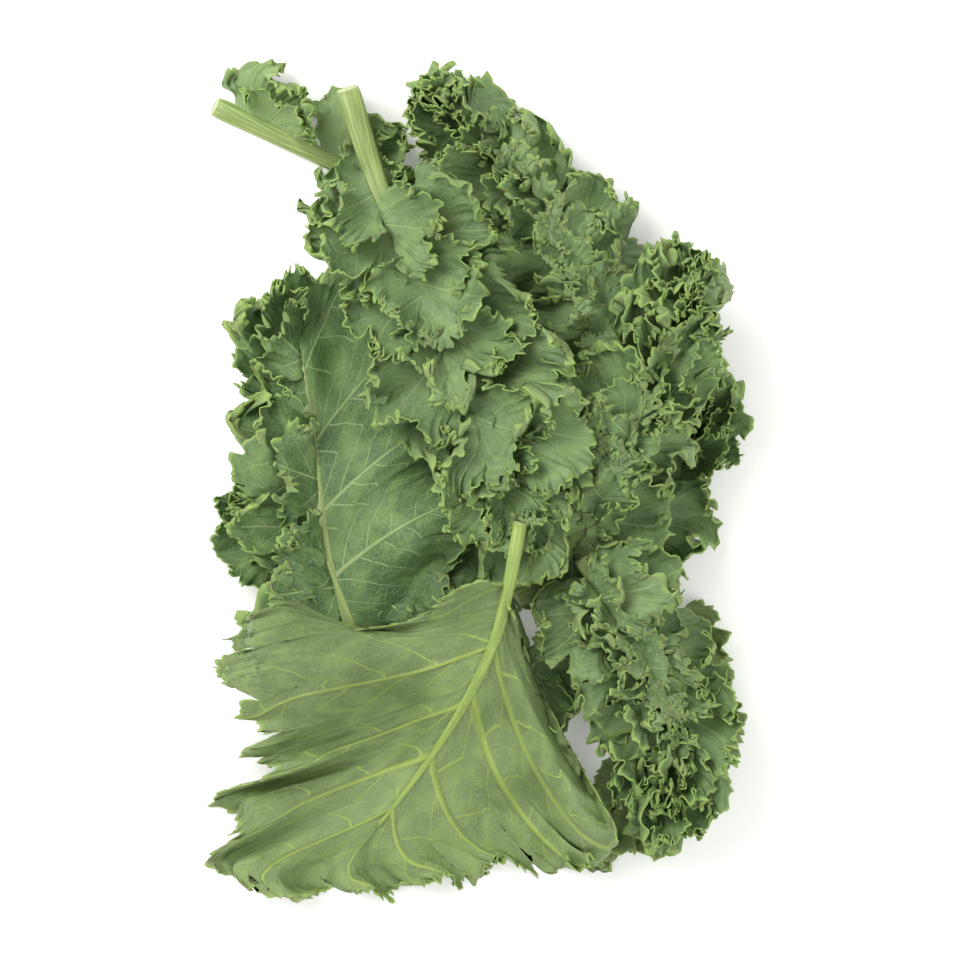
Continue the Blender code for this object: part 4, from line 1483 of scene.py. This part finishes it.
class KALE_OT_stage(bpy.types.Operator):
    """Makes the pale floor, the soft lights and the camera that looks straight down"""

    bl_idname = "kale.stage"
    bl_label = "Stage"

    def execute(self, context):
        settings = context.scene.kale_stage
        deselect_all()
        bpy.ops.mesh.primitive_plane_add(size=settings.floor_size, location=(0, 0, -FLOOR_DROP))
        floor = context.active_object
        floor.name = "floor"
        bpy.ops.object.transform_apply(location=True)
        material, _, shader = start_material("pale floor")
        shader.inputs["Base Color"].default_value = (*settings.floor_colour, 1)
        shader.inputs["Roughness"].default_value = 0.8
        shader.inputs["Emission Color"].default_value = (*settings.floor_colour, 1)
        shader.inputs["Emission Strength"].default_value = settings.floor_glow
        floor.data.materials.append(material)
        add_light("key", KEY_PLACE, KEY_SIZE, settings.key_power)
        add_light("fill", FILL_PLACE, FILL_SIZE, settings.key_power * FILL_SHARE)
        world = bpy.data.worlds.new("even light")
        world.use_nodes = True
        world.node_tree.nodes["Background"].inputs["Color"].default_value = (1, 1, 1, 1)
        world.node_tree.nodes["Background"].inputs["Strength"].default_value = settings.sky
        context.scene.world = world
        context.scene.view_settings.view_transform = "Standard"
        camera = bpy.data.cameras.new("camera")
        level = SOLIDS_BOX[1][2] / 2
        camera.lens = camera.sensor_width * (settings.camera_height - level) / settings.view_width
        viewer = bpy.data.objects.new("camera", camera)
        context.scene.collection.objects.link(viewer)
        viewer.location = (CAMERA_SHIFT, 0, settings.camera_height)
        context.scene.camera = viewer
        return {"FINISHED"}


class KALE_PT_panel(bpy.types.Panel):
    """The kale bunch's settings and steps"""

    bl_label = "Kale bunch"
    bl_idname = "KALE_PT_panel"
    bl_space_type = "VIEW_3D"
    bl_region_type = "UI"
    bl_category = "Kale"

    def draw(self, context):
        for operator in OPERATORS:
            self.layout.operator(operator.bl_idname)
        for group in SETTINGS:
            box = self.layout.box()
            box.label(text=group.removeprefix("kale_").capitalize())
            settings = getattr(context.scene, group)
            for name in settings.__annotations__:
                box.prop(settings, name)


OPERATORS = (KALE_OT_under_leaves, KALE_OT_stalk_leaves, KALE_OT_curly_leaves,
             KALE_OT_broad_leaves, KALE_OT_stage)
SETTINGS = {"kale_blades": KaleBladeSettings, "kale_colours": KaleColourSettings,
            "kale_stage": KaleStageSettings}


def register():
    for kind in (*SETTINGS.values(), *OPERATORS, KALE_PT_panel):
        bpy.utils.register_class(kind)
    for name, kind in SETTINGS.items():
        setattr(bpy.types.Scene, name, bpy.props.PointerProperty(type=kind))


def unregister():
    for name in SETTINGS:
        delattr(bpy.types.Scene, name)
    for kind in (KALE_PT_panel, *OPERATORS, *SETTINGS.values()):
        bpy.utils.unregister_class(kind)


def main():
    register()
    bpy.ops.kale.under_leaves()
    bpy.ops.kale.stalk_leaves()
    bpy.ops.kale.curly_leaves()
    bpy.ops.kale.broad_leaves()
    bpy.ops.kale.stage()
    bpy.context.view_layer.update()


if __name__ == "__main__":
    main()
